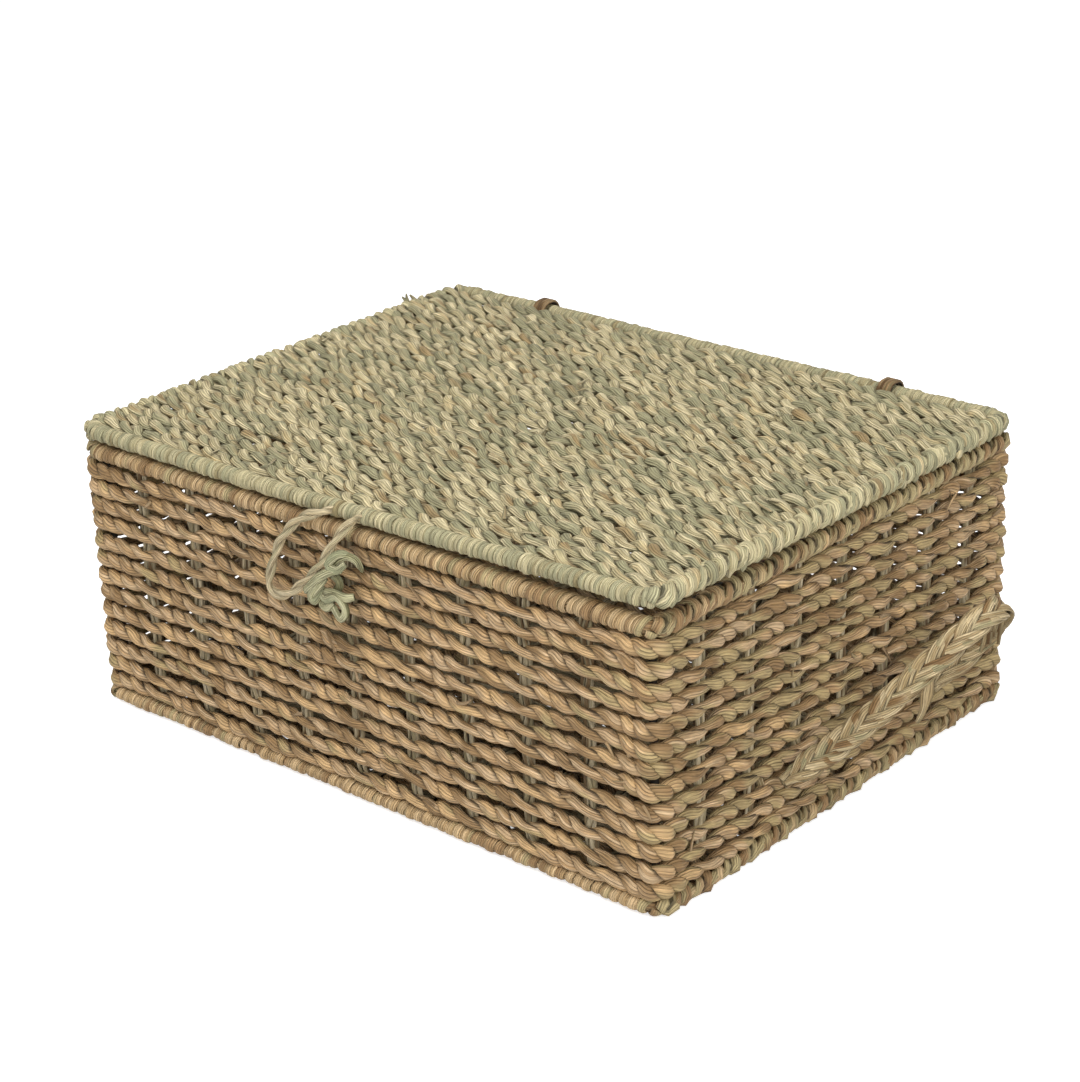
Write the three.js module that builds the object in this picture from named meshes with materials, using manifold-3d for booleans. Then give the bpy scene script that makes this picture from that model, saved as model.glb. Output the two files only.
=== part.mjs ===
// Woven seagrass storage box on a wire frame, with a hinged lid. Sizes are in millimetres.
// The origin is the middle of the footprint, on the floor. +X runs along the long side,
// +Y runs from the front to the hinge, and +Z is up.

import * as THREE from 'three';
import { mergeVertices } from 'three/addons/utils/BufferGeometryUtils.js';
import Module from 'manifold-3d';

const wasm = await Module();
wasm.setup();

// Driving dimensions of the whole box
const BOX_LENGTH = 400;
const BOX_DEPTH = 310;
const RIM_HEIGHT = 155;
const CORNER_RADIUS = 15;
const CLEARANCE = 0.3;

// Strands, wires and bindings
const WIRE_DIAMETER = 4;
const STAKE_DIAMETER = 4;
const ROW_COUNT = 13;
const ROW_DEPTH = 7.4;
const ROW_SPACE = 1.1;
const BINDING_HEIGHT = 9;
const BINDING_EDGE = 1.4;
const MAT_ROW_COUNT = 28;
const MAT_THICKNESS = 7;
const LONG_STAKE_COUNT = 9;
const LONG_END_BAY = 46;
const SHORT_STAKE_COUNT = 7;
const SHORT_END_BAY = 39;
const STAKE_BEND_RADIUS = 8;

// Lid and its lashings
const LID_THICKNESS = 11;
const LID_STAKE_DIAMETER = 3.2;
const TIE_THICKNESS = 2.4;
const TIE_WIDTH = 10;
const TIE_BAY = 3;

// Handles, closure loop and toggle
const HANDLE_ROW = 3;
const HANDLE_BAY = 1.7;
const HANDLE_ELEVATION = THREE.MathUtils.degToRad(57);
const HANDLE_WIDTH = 14;
const HANDLE_THICKNESS = 8;
const HANDLE_TAPER = 0.2;
const KNUCKLE_RADIUS = 4.4;
const STEM_RADIUS = 4.4;
const KNOT_RADIUS = 6.5;
const KNOT_LENGTH = 8;
const LOOP_DIAMETER = 3.5;
const TOGGLE_ROW = 12;
const TOGGLE_STEM_X = 8;
const TOGGLE_STEM_RADIUS = 2.5;

// Facets
const CORNER_STEPS = 3;
const TURN_STEPS = 3;
const BEND_STEPS = 2;
const ROW_SIDES = 8;
const BINDING_SIDES = 10;
const STRAND_SIDES = 6;
const MAT_SIDES = 6;
const BRAID_SIDES = 10;
const CORD_SIDES = 8;
const HOLE_SIDES = 12;
const HANDLE_STEPS = 22;
const LOOP_STEPS = 30;
const TOGGLE_STEPS = 26;
const TIE_STEPS = 10;

// Sizes that follow from the driving ones
const HALF_LENGTH = BOX_LENGTH / 2;
const HALF_DEPTH = BOX_DEPTH / 2;
const FRAME_INSET = ROW_DEPTH + CLEARANCE + WIRE_DIAMETER / 2;
const STAKE_INSET = ROW_DEPTH + CLEARANCE + STAKE_DIAMETER / 2;
const BINDING_WIDTH = FRAME_INSET + WIRE_DIAMETER / 2 + CLEARANCE + BINDING_EDGE;
const BINDING_INSET = BINDING_WIDTH / 2;
const BASE_HOOP_HEIGHT = BINDING_HEIGHT / 2;
const RIM_HOOP_HEIGHT = RIM_HEIGHT - BINDING_HEIGHT / 2;
const ROWS_BOTTOM = BINDING_HEIGHT + CLEARANCE;
const TIE_SLACK = 2 * CLEARANCE;
const ROWS_TOP = RIM_HEIGHT - BINDING_HEIGHT - TIE_THICKNESS - TIE_SLACK - CLEARANCE;
const ROW_PITCH = (ROWS_TOP - ROWS_BOTTOM) / ROW_COUNT;
const ROW_HEIGHT = ROW_PITCH - ROW_SPACE;
const STAKE_TOP = RIM_HEIGHT - BINDING_HEIGHT - CLEARANCE;
const LOWER_STAKE_HEIGHT = BINDING_HEIGHT + CLEARANCE + STAKE_DIAMETER / 2;
const UPPER_STAKE_HEIGHT = LOWER_STAKE_HEIGHT + STAKE_DIAMETER + CLEARANCE;
const LONG_STAKE_PITCH = (BOX_LENGTH - 2 * LONG_END_BAY) / (LONG_STAKE_COUNT - 1);
const SHORT_STAKE_PITCH = (BOX_DEPTH - 2 * SHORT_END_BAY) / (SHORT_STAKE_COUNT - 1);

const LID_RADIUS = LID_THICKNESS / 2;
const LID_BOTTOM = RIM_HEIGHT + CLEARANCE;
const LID_AXIS_HEIGHT = LID_BOTTOM + LID_RADIUS;
const LID_TOP = LID_BOTTOM + LID_THICKNESS;
const LID_MAT_BOTTOM = LID_TOP - MAT_THICKNESS;
const LID_STAKE_HEIGHT = LID_MAT_BOTTOM - CLEARANCE - LID_STAKE_DIAMETER / 2;
const LID_STAKE_REACH = HALF_DEPTH - LID_RADIUS - LID_STAKE_DIAMETER / 3;
const LID_EDGE = LID_THICKNESS + CLEARANCE;
const TIE_INNER_RADIUS = LID_RADIUS + CLEARANCE;
const TIE_OUTER_RADIUS = TIE_INNER_RADIUS + TIE_THICKNESS;
const LID_REAR_EDGE = LID_RADIUS + TIE_OUTER_RADIUS + 3 * CLEARANCE;
const TIE_X = TIE_BAY * LONG_STAKE_PITCH + (STAKE_DIAMETER + TIE_WIDTH) / 2 + 2 * CLEARANCE;

const HANDLE_HEIGHT = ROWS_BOTTOM + HANDLE_ROW * ROW_PITCH;
const HANDLE_REACH = HANDLE_BAY * SHORT_STAKE_PITCH;
const HANDLE_AXIS_X = HALF_LENGTH + KNUCKLE_RADIUS + 2 * CLEARANCE;
const TOGGLE_HEIGHT = ROWS_BOTTOM + TOGGLE_ROW * ROW_PITCH;

// The braided handle's centreline: along the wall, and out from the line through its ends
const HANDLE_ROUTE = [
  [-HANDLE_REACH, 0],
  [-34, 8],
  [0, 22],
  [30, 46],
  [58, 64],
  [84, 66],
  [99, 50],
  [88, 24],
  [HANDLE_REACH, 0],
];

// The closure loop's centreline: along the front, out from the front face, and height
const LOOP_TOUCH = CLEARANCE + LOOP_DIAMETER / 2;
const LOOP_ROUTE = [
  [-19, LOOP_TOUCH, LID_AXIS_HEIGHT],
  [-34, 4.5, 153],
  [-48, 5, 136],
  [-57, 5, 119],
  [-59, 6, 107],
  [-51, 7, 106],
  [-38, 8.5, 114],
  [-20, 8, 134],
  [-6, 5, 152],
  [4, LOOP_TOUCH, LID_AXIS_HEIGHT + 1],
];

// The toggle's centreline and radius: along the front, out from the front face, up from its hole
const TOGGLE_ROUTE = [
  [TOGGLE_STEM_X, -15.4, 0, 1.2],
  [TOGGLE_STEM_X, -12, 0, 3.6],
  [TOGGLE_STEM_X, -8.4, 0, TOGGLE_STEM_RADIUS],
  [TOGGLE_STEM_X, 0, -0.4, TOGGLE_STEM_RADIUS],
  [TOGGLE_STEM_X - 1, 3.4, 0.4, TOGGLE_STEM_RADIUS],
  [2, 4.2, 4, 3],
  [-7, 4.2, 6, 3.6],
  [-18, 3.6, -3, 2.9],
  [-28, 3.6, -13, 3],
  [-28, 3.8, -22, 3.2],
  [-18, 3.6, -26, 2.8],
  [-10, 4, -27, 3.6],
  [-6, 4, -27.5, 1.6],
];

const UP = new THREE.Vector3(0, 0, 1);
const ALONG_X = new THREE.Vector3(1, 0, 0);
const ALONG_Y = new THREE.Vector3(0, 1, 0);

const finishes = {
  steel: { color: 0x6f6c66, roughness: 0.5, metalness: 0.9 },
  wall: { color: 0xa98a62, roughness: 0.85, metalness: 0 },
  border: { color: 0x9c8058, roughness: 0.85, metalness: 0 },
  stake: { color: 0x8f8565, roughness: 0.9, metalness: 0 },
  lid: { color: 0xb7ad86, roughness: 0.85, metalness: 0 },
  lidBorder: { color: 0x9fa182, roughness: 0.85, metalness: 0 },
  straw: { color: 0xbfae82, roughness: 0.8, metalness: 0 },
  green: { color: 0x8e9a72, roughness: 0.85, metalness: 0 },
  tie: { color: 0x8a6238, roughness: 0.85, metalness: 0 },
  cream: { color: 0xc9bd9c, roughness: 0.85, metalness: 0 },
};

const group = new THREE.Group();
group.name = 'woven_lidded_box';

function addMesh(name, geometry, finish) {
  const material = new THREE.MeshStandardMaterial(finishes[finish]);
  material.name = finish;
  const mesh = new THREE.Mesh(geometry, material);
  mesh.name = name;
  group.add(mesh);
}

// A many-sided oval, scaled so that it just fits the given width and height
function ovalSection(width, height, sides, turn = 0.5) {
  const ring = [];
  for (let i = 0; i < sides; i += 1) {
    const angle = ((i + turn) / sides) * 2 * Math.PI;
    ring.push(new THREE.Vector2(Math.cos(angle), Math.sin(angle)));
  }
  const reach = new THREE.Box2().setFromPoints(ring).max;
  return ring.map((point) => new THREE.Vector2(
    (point.x / reach.x) * (width / 2),
    (point.y / reach.y) * (height / 2),
  ));
}

// A closed surface from points and triangles, turned to face outwards
function closedSurface(points, triangles) {
  const cross = new THREE.Vector3();
  let volume = 0;
  for (const [a, b, c] of triangles) {
    volume += points[a].dot(cross.crossVectors(points[b], points[c]));
  }
  const facing = volume < 0 ? triangles.map(([a, b, c]) => [a, c, b]) : triangles;
  const geometry = new THREE.BufferGeometry().setFromPoints(points);
  geometry.setIndex(facing.flat());
  return geometry;
}

// Sweeps a section along stations that lie in one plane with the given normal.
// A station may scale its section across the path and along the normal.
function sweep(stations, section, normal, closed = false) {
  const points = [];
  const triangles = [];
  const count = section.length;
  for (const { at, along, scale = [1, 1] } of stations) {
    const across = new THREE.Vector3().crossVectors(along, normal).normalize();
    for (const corner of section) {
      points.push(at.clone()
        .addScaledVector(across, corner.x * scale[0])
        .addScaledVector(normal, corner.y * scale[1]));
    }
  }
  const spans = closed ? stations.length : stations.length - 1;
  for (let j = 0; j < spans; j += 1) {
    const here = j * count;
    const next = ((j + 1) % stations.length) * count;
    for (let i = 0; i < count; i += 1) {
      const side = (i + 1) % count;
      triangles.push([here + i, next + i, next + side]);
      triangles.push([here + i, next + side, here + side]);
    }
  }
  if (!closed) {
    const end = (stations.length - 1) * count;
    for (let i = 1; i < count - 1; i += 1) {
      triangles.push([0, i, i + 1]);
      triangles.push([end, end + i + 1, end + i]);
    }
  }
  return closedSurface(points, triangles);
}

// Stations on an arc in the plane of two unit vectors, from one angle to another
function arcStations(centre, radius, first, second, from, to, steps) {
  const stations = [];
  for (let i = 0; i <= steps; i += 1) {
    const angle = from + ((to - from) * i) / steps;
    const turn = Math.sign(to - from);
    const at = centre.clone()
      .addScaledVector(first, radius * Math.cos(angle))
      .addScaledVector(second, radius * Math.sin(angle));
    const along = new THREE.Vector3()
      .addScaledVector(first, -turn * Math.sin(angle))
      .addScaledVector(second, turn * Math.cos(angle));
    stations.push({ at, along });
  }
  return stations;
}

// A horizontal loop round the box, set in from its outer face
function loopStations(inset, height) {
  const stations = [];
  const x = HALF_LENGTH - CORNER_RADIUS;
  const y = HALF_DEPTH - CORNER_RADIUS;
  [[x, y], [-x, y], [-x, -y], [x, -y]].forEach(([cornerX, cornerY], quarter) => {
    const centre = new THREE.Vector3(cornerX, cornerY, height);
    const from = (quarter * Math.PI) / 2;
    const arc = arcStations(
      centre, CORNER_RADIUS - inset, ALONG_X, ALONG_Y, from, from + Math.PI / 2, CORNER_STEPS,
    );
    stations.push(...arc);
  });
  return stations;
}

function ring(inset, height, section) {
  return sweep(loopStations(inset, height), section, UP, true);
}

// One rope that runs to and fro along X and fills a rectangle with touching rows
function serpentine(halfX, front, rear, height) {
  const pitch = (rear - front) / MAT_ROW_COUNT;
  const turnRadius = pitch / 2;
  const reach = halfX - pitch + CLEARANCE / 2;
  const stations = [];
  for (let row = 0; row < MAT_ROW_COUNT; row += 1) {
    const direction = row % 2 === 0 ? 1 : -1;
    const along = new THREE.Vector3(direction, 0, 0);
    const y = front + (row + 0.5) * pitch;
    if (row === 0) {
      stations.push({ at: new THREE.Vector3(-direction * reach, y, height), along });
    }
    if (row === MAT_ROW_COUNT - 1) {
      stations.push({ at: new THREE.Vector3(direction * reach, y, height), along });
      continue;
    }
    const centre = new THREE.Vector3(direction * reach, y + turnRadius, height);
    const outward = new THREE.Vector3(direction, 0, 0);
    stations.push(...arcStations(
      centre, turnRadius, outward, ALONG_Y, -Math.PI / 2, Math.PI / 2, TURN_STEPS,
    ));
  }
  const section = ovalSection(pitch - CLEARANCE, MAT_THICKNESS, MAT_SIDES, 0);
  return sweep(stations, section, UP);
}

// A stake that comes down one wall, crosses the base and goes up the wall opposite
function wallStake(outward, halfSpan, baseHeight, offset) {
  const wall = halfSpan - STAKE_INSET;
  const bend = wall - STAKE_BEND_RADIUS;
  const sideways = new THREE.Vector3().crossVectors(UP, outward);
  const shift = sideways.clone().multiplyScalar(offset);
  const place = (out, z) => shift.clone().addScaledVector(outward, out).setZ(z);
  const down = UP.clone().negate();
  const stations = [
    { at: place(-wall, STAKE_TOP), along: down },
    ...arcStations(
      place(-bend, baseHeight + STAKE_BEND_RADIUS), STAKE_BEND_RADIUS,
      outward, UP, Math.PI, 1.5 * Math.PI, BEND_STEPS,
    ),
    ...arcStations(
      place(bend, baseHeight + STAKE_BEND_RADIUS), STAKE_BEND_RADIUS,
      outward, UP, -Math.PI / 2, 0, BEND_STEPS,
    ),
    { at: place(wall, STAKE_TOP), along: UP },
  ];
  return sweep(stations, ovalSection(STAKE_DIAMETER, STAKE_DIAMETER, STRAND_SIDES, 0), sideways);
}

function toSolid(geometry) {
  const plain = new THREE.BufferGeometry();
  plain.setAttribute('position', geometry.getAttribute('position'));
  plain.setIndex(geometry.getIndex());
  const merged = mergeVertices(plain, 1e-4);
  return new wasm.Manifold(new wasm.Mesh({
    numProp: 3,
    vertProperties: new Float32Array(merged.getAttribute('position').array),
    triVerts: new Uint32Array(merged.getIndex().array),
  }));
}

function toGeometry(solid) {
  const mesh = solid.getMesh();
  const geometry = new THREE.BufferGeometry();
  geometry.setAttribute('position', new THREE.BufferAttribute(mesh.vertProperties, mesh.numProp));
  geometry.setIndex(new THREE.BufferAttribute(mesh.triVerts, 1));
  return geometry;
}

function join(geometries) {
  return geometries.map(toSolid).reduce((whole, solid) => whole.add(solid));
}

function cut(geometry, tools) {
  return toGeometry(tools.reduce((whole, tool) => whole.subtract(toSolid(tool)), toSolid(geometry)));
}

function rod(radius, length, sides, axis, centre) {
  const geometry = new THREE.CylinderGeometry(radius, radius, length, sides);
  const turn = new THREE.Quaternion().setFromUnitVectors(ALONG_Y, axis);
  return geometry.applyQuaternion(turn).translate(centre.x, centre.y, centre.z);
}

// Wire frame: two hoops and four corner posts, welded. Grown a little, it makes its own sockets.
function frameSolid(growth) {
  const diameter = WIRE_DIAMETER + 2 * growth;
  const section = ovalSection(diameter, diameter, STRAND_SIDES, 0);
  const diagonal = (CORNER_RADIUS - FRAME_INSET) * Math.SQRT1_2;
  const x = HALF_LENGTH - CORNER_RADIUS + diagonal;
  const y = HALF_DEPTH - CORNER_RADIUS + diagonal;
  const middle = (BASE_HOOP_HEIGHT + RIM_HOOP_HEIGHT) / 2;
  const posts = [[x, y], [-x, y], [-x, -y], [x, -y]].map(([postX, postY]) => rod(
    diameter / 2, RIM_HOOP_HEIGHT - BASE_HOOP_HEIGHT, CORD_SIDES, UP,
    new THREE.Vector3(postX, postY, middle),
  ));
  return join([
    ring(FRAME_INSET, BASE_HOOP_HEIGHT, section),
    ring(FRAME_INSET, RIM_HOOP_HEIGHT, section),
    ...posts,
  ]);
}

function addFrame() {
  const section = ovalSection(BINDING_WIDTH, BINDING_HEIGHT, BINDING_SIDES, 0);
  const sockets = frameSolid(CLEARANCE);
  addMesh('wire_frame', toGeometry(frameSolid(0)), 'steel');
  for (const [name, height] of [['base_binding', BASE_HOOP_HEIGHT], ['rim_binding', RIM_HOOP_HEIGHT]]) {
    const binding = toSolid(ring(BINDING_INSET, height, section));
    addMesh(name, toGeometry(binding.subtract(sockets)), 'border');
  }
}

// Holes through the wall for the handles' stems and the toggle's stem
function wallHoles() {
  const snug = 1 / Math.cos(Math.PI / HOLE_SIDES);
  const handleHole = (STEM_RADIUS + CLEARANCE) * snug;
  const toggleHole = (TOGGLE_STEM_RADIUS + 3 * CLEARANCE) * snug;
  const depth = 4 * ROW_DEPTH;
  const holes = [];
  for (const side of [-1, 1]) {
    for (const reach of [-HANDLE_REACH, HANDLE_REACH]) {
      const centre = new THREE.Vector3(side * HALF_LENGTH, reach, HANDLE_HEIGHT);
      holes.push(rod(handleHole, depth, HOLE_SIDES, ALONG_X, centre));
    }
  }
  const centre = new THREE.Vector3(TOGGLE_STEM_X, -HALF_DEPTH, TOGGLE_HEIGHT);
  holes.push(rod(toggleHole, depth, HOLE_SIDES, ALONG_Y, centre));
  return holes;
}

function addWallRows() {
  const section = ovalSection(ROW_DEPTH, ROW_HEIGHT, ROW_SIDES);
  const holes = wallHoles();
  const pierced = [HANDLE_ROW, HANDLE_ROW + 1, TOGGLE_ROW, TOGGLE_ROW + 1];
  for (let row = 1; row <= ROW_COUNT; row += 1) {
    const geometry = ring(ROW_DEPTH / 2, ROWS_BOTTOM + (row - 0.5) * ROW_PITCH, section);
    const name = `wall_row_${String(row).padStart(2, '0')}`;
    addMesh(name, pierced.includes(row) ? cut(geometry, holes) : geometry, 'wall');
  }
}

function addBase() {
  const edge = BINDING_WIDTH + CLEARANCE;
  const height = BINDING_HEIGHT - MAT_THICKNESS / 2;
  const mat = serpentine(
    HALF_LENGTH - edge, -HALF_DEPTH + edge, HALF_DEPTH - edge, height,
  );
  addMesh('base_weft', mat, 'wall');
}

function centredOffsets(count, pitch) {
  return Array.from({ length: count }, (_, i) => (i - (count - 1) / 2) * pitch);
}

function addStakes() {
  centredOffsets(LONG_STAKE_COUNT, LONG_STAKE_PITCH).forEach((x, i) => {
    const stake = wallStake(ALONG_Y, HALF_DEPTH, LOWER_STAKE_HEIGHT, -x);
    addMesh(`stake_front_to_back_${i + 1}`, stake, 'stake');
  });
  centredOffsets(SHORT_STAKE_COUNT, SHORT_STAKE_PITCH).forEach((y, i) => {
    const stake = wallStake(ALONG_X, HALF_LENGTH, UPPER_STAKE_HEIGHT, y);
    addMesh(`stake_side_to_side_${i + 1}`, stake, 'stake');
  });
}

function lidWire(growth) {
  const diameter = WIRE_DIAMETER + 2 * growth;
  return ring(LID_RADIUS, LID_AXIS_HEIGHT, ovalSection(diameter, diameter, STRAND_SIDES, 0));
}

function lidStake(x, growth) {
  const radius = LID_STAKE_DIAMETER / 2 + growth;
  const length = 2 * (LID_STAKE_REACH + growth);
  const centre = new THREE.Vector3(x, 0, LID_STAKE_HEIGHT);
  return rod(radius, length, STRAND_SIDES, ALONG_Y, centre);
}

function addLid() {
  const stakes = centredOffsets(LONG_STAKE_COUNT, LONG_STAKE_PITCH);
  const sockets = [lidWire(CLEARANCE), ...stakes.map((x) => lidStake(x, CLEARANCE))];
  const section = ovalSection(LID_THICKNESS, LID_THICKNESS, BINDING_SIDES, 0);
  const round = section.map((point) => point.setLength(LID_RADIUS));
  addMesh('lid_wire', lidWire(0), 'steel');
  addMesh('lid_binding', cut(ring(LID_RADIUS, LID_AXIS_HEIGHT, round), sockets), 'lidBorder');
  const mat = serpentine(
    HALF_LENGTH - LID_EDGE, -HALF_DEPTH + LID_EDGE, HALF_DEPTH - LID_REAR_EDGE,
    LID_TOP - MAT_THICKNESS / 2,
  );
  addMesh('lid_weft', mat, 'lid');
  stakes.forEach((x, i) => addMesh(`lid_stake_${i + 1}`, lidStake(x, 0), 'stake'));
}

// Outline of a lashing that hugs the lid's rear edge above and the body's rim below
function tieOutline(growth) {
  const path = new THREE.Path();
  const lidY = HALF_DEPTH - LID_RADIUS;
  const rimY = HALF_DEPTH - BINDING_INSET;
  const top = TIE_INNER_RADIUS + growth;
  const wide = BINDING_INSET + TIE_SLACK + growth;
  const deep = BINDING_HEIGHT / 2 + TIE_SLACK + growth;
  path.absarc(lidY, LID_AXIS_HEIGHT, top, 0, Math.PI, false);
  path.absellipse(rimY, RIM_HOOP_HEIGHT, wide, deep, Math.PI, 2 * Math.PI, false);
  path.closePath();
  return path.getPoints(TIE_STEPS);
}

function addHingeTies() {
  const shape = new THREE.Shape(tieOutline(TIE_THICKNESS));
  shape.holes.push(new THREE.Path(tieOutline(0)));
  for (const [name, x] of [['hinge_tie_left', -TIE_X], ['hinge_tie_right', TIE_X]]) {
    const tie = new THREE.ExtrudeGeometry(shape, { depth: TIE_WIDTH, bevelEnabled: false, steps: 1 });
    const turn = new THREE.Matrix4().makeBasis(ALONG_Y, UP, ALONG_X);
    tie.applyMatrix4(turn).translate(x - TIE_WIDTH / 2, 0, 0);
    tie.deleteAttribute('uv').deleteAttribute('normal');
    addMesh(name, toGeometry(toSolid(mergeVertices(tie))), 'tie');
  }
}

// A braided strap that loops out from the end wall, bent on its flat face, with rounded ends to turn on
function handleGeometry(side) {
  const outward = new THREE.Vector3(side * Math.cos(HANDLE_ELEVATION), 0, Math.sin(HANDLE_ELEVATION));
  const normal = new THREE.Vector3(-side * Math.sin(HANDLE_ELEVATION), 0, Math.cos(HANDLE_ELEVATION));
  const foot = new THREE.Vector3(side * HANDLE_AXIS_X, 0, HANDLE_HEIGHT);
  const route = new THREE.CatmullRomCurve3(HANDLE_ROUTE.map(([y, out]) => foot.clone()
    .addScaledVector(ALONG_Y, y)
    .addScaledVector(outward, out)));
  const round = 2 * KNUCKLE_RADIUS;
  const stations = [];
  for (let i = 0; i <= HANDLE_STEPS; i += 1) {
    const share = i / HANDLE_STEPS;
    const full = THREE.MathUtils.smoothstep(Math.min(share, 1 - share), 0, HANDLE_TAPER);
    stations.push({
      at: route.getPointAt(share),
      along: route.getTangentAt(share),
      scale: [
        THREE.MathUtils.lerp(round, HANDLE_THICKNESS, full),
        THREE.MathUtils.lerp(round, HANDLE_WIDTH, full),
      ],
    });
  }
  const dome = (station, way) => [Math.PI / 3, Math.PI / 6].map((angle) => ({
    at: station.at.clone().addScaledVector(station.along, way * KNUCKLE_RADIUS * Math.sin(angle)),
    along: station.along,
    scale: station.scale.map((size) => size * Math.cos(angle)),
  }));
  const start = dome(stations[0], -1);
  const finish = dome(stations[HANDLE_STEPS], 1).reverse();
  return sweep([...start, ...stations, ...finish], ovalSection(1, 1, BRAID_SIDES), normal);
}

// The knot inside the wall that holds one end of a handle, and its stem through the wall
function stemKnot(side, y) {
  const seat = ROW_DEPTH + CLEARANCE;
  const profile = [
    [0, 0],
    [STEM_RADIUS, 0],
    [STEM_RADIUS, seat],
    [KNOT_RADIUS * 0.85, seat],
    [KNOT_RADIUS, seat + KNOT_LENGTH * 0.3],
    [KNOT_RADIUS * 0.8, seat + KNOT_LENGTH * 0.75],
    [0, seat + KNOT_LENGTH],
  ].map(([radius, depth]) => new THREE.Vector2(radius, depth));
  const knot = new THREE.LatheGeometry(profile, HOLE_SIDES);
  const inward = ALONG_X.clone().multiplyScalar(-side);
  knot.applyQuaternion(new THREE.Quaternion().setFromUnitVectors(ALONG_Y, inward));
  knot.translate(side * HALF_LENGTH, y, HANDLE_HEIGHT);
  return toGeometry(toSolid(knot));
}

function addHandles() {
  for (const [end, side] of [['right', 1], ['left', -1]]) {
    addMesh(`handle_${end}`, handleGeometry(side), 'straw');
    addMesh(`handle_${end}_knot_front`, stemKnot(side, -HANDLE_REACH), 'straw');
    addMesh(`handle_${end}_knot_back`, stemKnot(side, HANDLE_REACH), 'straw');
  }
}

function addClosureLoop() {
  const route = new THREE.CatmullRomCurve3(
    LOOP_ROUTE.map(([x, out, z]) => new THREE.Vector3(x, -HALF_DEPTH - out, z)),
  );
  const shape = new THREE.Shape(ovalSection(LOOP_DIAMETER, LOOP_DIAMETER, CORD_SIDES));
  const cord = new THREE.ExtrudeGeometry(shape, { steps: LOOP_STEPS, extrudePath: route });
  cord.deleteAttribute('uv').deleteAttribute('normal');
  addMesh('closure_loop', toGeometry(toSolid(mergeVertices(cord))), 'cream');
}

// A knotted cord that passes through the front wall and hooks along its face
function addToggle() {
  const centres = TOGGLE_ROUTE.map(
    ([x, out, up]) => new THREE.Vector3(x, -HALF_DEPTH - out, TOGGLE_HEIGHT + up),
  );
  const route = new THREE.CatmullRomCurve3(centres);
  const frames = route.computeFrenetFrames(TOGGLE_STEPS, false);
  const section = ovalSection(2, 2, CORD_SIDES);
  const points = [];
  const triangles = [];
  for (let i = 0; i <= TOGGLE_STEPS; i += 1) {
    const share = i / TOGGLE_STEPS;
    const place = route.getUtoTmapping(share) * (TOGGLE_ROUTE.length - 1);
    const before = Math.min(Math.floor(place), TOGGLE_ROUTE.length - 2);
    const radius = THREE.MathUtils.lerp(
      TOGGLE_ROUTE[before][3], TOGGLE_ROUTE[before + 1][3], place - before,
    );
    for (const corner of section) {
      points.push(route.getPointAt(share)
        .addScaledVector(frames.normals[i], corner.x * radius)
        .addScaledVector(frames.binormals[i], corner.y * radius));
    }
  }
  for (let i = 0; i < TOGGLE_STEPS; i += 1) {
    for (let j = 0; j < CORD_SIDES; j += 1) {
      const here = i * CORD_SIDES;
      const next = here + CORD_SIDES;
      const side = (j + 1) % CORD_SIDES;
      triangles.push([here + j, next + j, next + side], [here + j, next + side, here + side]);
    }
  }
  const end = TOGGLE_STEPS * CORD_SIDES;
  for (let j = 1; j < CORD_SIDES - 1; j += 1) {
    triangles.push([0, j, j + 1], [end, end + j + 1, end + j]);
  }
  addMesh('toggle_knot', closedSurface(points, triangles), 'green');
}

addFrame();
addBase();
addWallRows();
addStakes();
addLid();
addHingeTies();
addHandles();
addClosureLoop();
addToggle();

export default group;
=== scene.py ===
"""A twined seagrass box with a hinged lid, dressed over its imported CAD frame.

Sizes are in metres in the CAD frame: the box stands on z = 0, its front faces -Y, and its
long side lies along X.
"""

import logging
import math
from collections.abc import Callable, Sequence
from dataclasses import dataclass, fields, replace
from enum import Enum

import bpy
import numpy as np
from mathutils import Matrix, Vector


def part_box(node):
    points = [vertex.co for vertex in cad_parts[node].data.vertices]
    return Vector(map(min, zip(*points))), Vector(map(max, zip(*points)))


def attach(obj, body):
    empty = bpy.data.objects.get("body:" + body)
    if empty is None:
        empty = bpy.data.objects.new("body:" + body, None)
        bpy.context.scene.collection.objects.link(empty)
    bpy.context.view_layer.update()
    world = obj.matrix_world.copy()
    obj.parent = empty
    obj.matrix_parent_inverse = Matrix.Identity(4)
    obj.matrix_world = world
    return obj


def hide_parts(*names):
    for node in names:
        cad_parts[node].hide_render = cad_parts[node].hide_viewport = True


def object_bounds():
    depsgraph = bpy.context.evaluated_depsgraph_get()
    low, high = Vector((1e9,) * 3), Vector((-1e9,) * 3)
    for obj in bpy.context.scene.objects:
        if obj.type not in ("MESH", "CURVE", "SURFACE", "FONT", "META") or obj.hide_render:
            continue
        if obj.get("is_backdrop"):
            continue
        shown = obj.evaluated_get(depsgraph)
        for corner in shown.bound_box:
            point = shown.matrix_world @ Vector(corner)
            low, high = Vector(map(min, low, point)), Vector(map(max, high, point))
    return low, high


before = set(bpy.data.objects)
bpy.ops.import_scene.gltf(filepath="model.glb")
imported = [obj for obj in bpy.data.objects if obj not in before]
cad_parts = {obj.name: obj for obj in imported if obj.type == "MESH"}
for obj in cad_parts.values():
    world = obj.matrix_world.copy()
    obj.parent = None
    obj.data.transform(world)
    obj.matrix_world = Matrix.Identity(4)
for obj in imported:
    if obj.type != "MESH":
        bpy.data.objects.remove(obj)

LOG = logging.getLogger("woven_box")
CAD_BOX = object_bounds()
Colour = tuple[float, float, float, float]
Screen = tuple[int, int, int]
Place = tuple[float, float, float]
Material = bpy.types.Material
Piece = bpy.types.Object
Socket = bpy.types.NodeSocket
UP = np.array((0.0, 0.0, 1.0))
EAST = np.array((1.0, 0.0, 0.0))
NORTH = np.array((0.0, 1.0, 0.0))
SOUTH = np.array((0.0, -1.0, 0.0))
PRESSED = 0.0006
STAKES_X = tuple(0.0385 * i for i in range(-4, 5))
STAKES_Y = tuple(0.116 / 3 * i for i in range(-3, 4))


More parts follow.
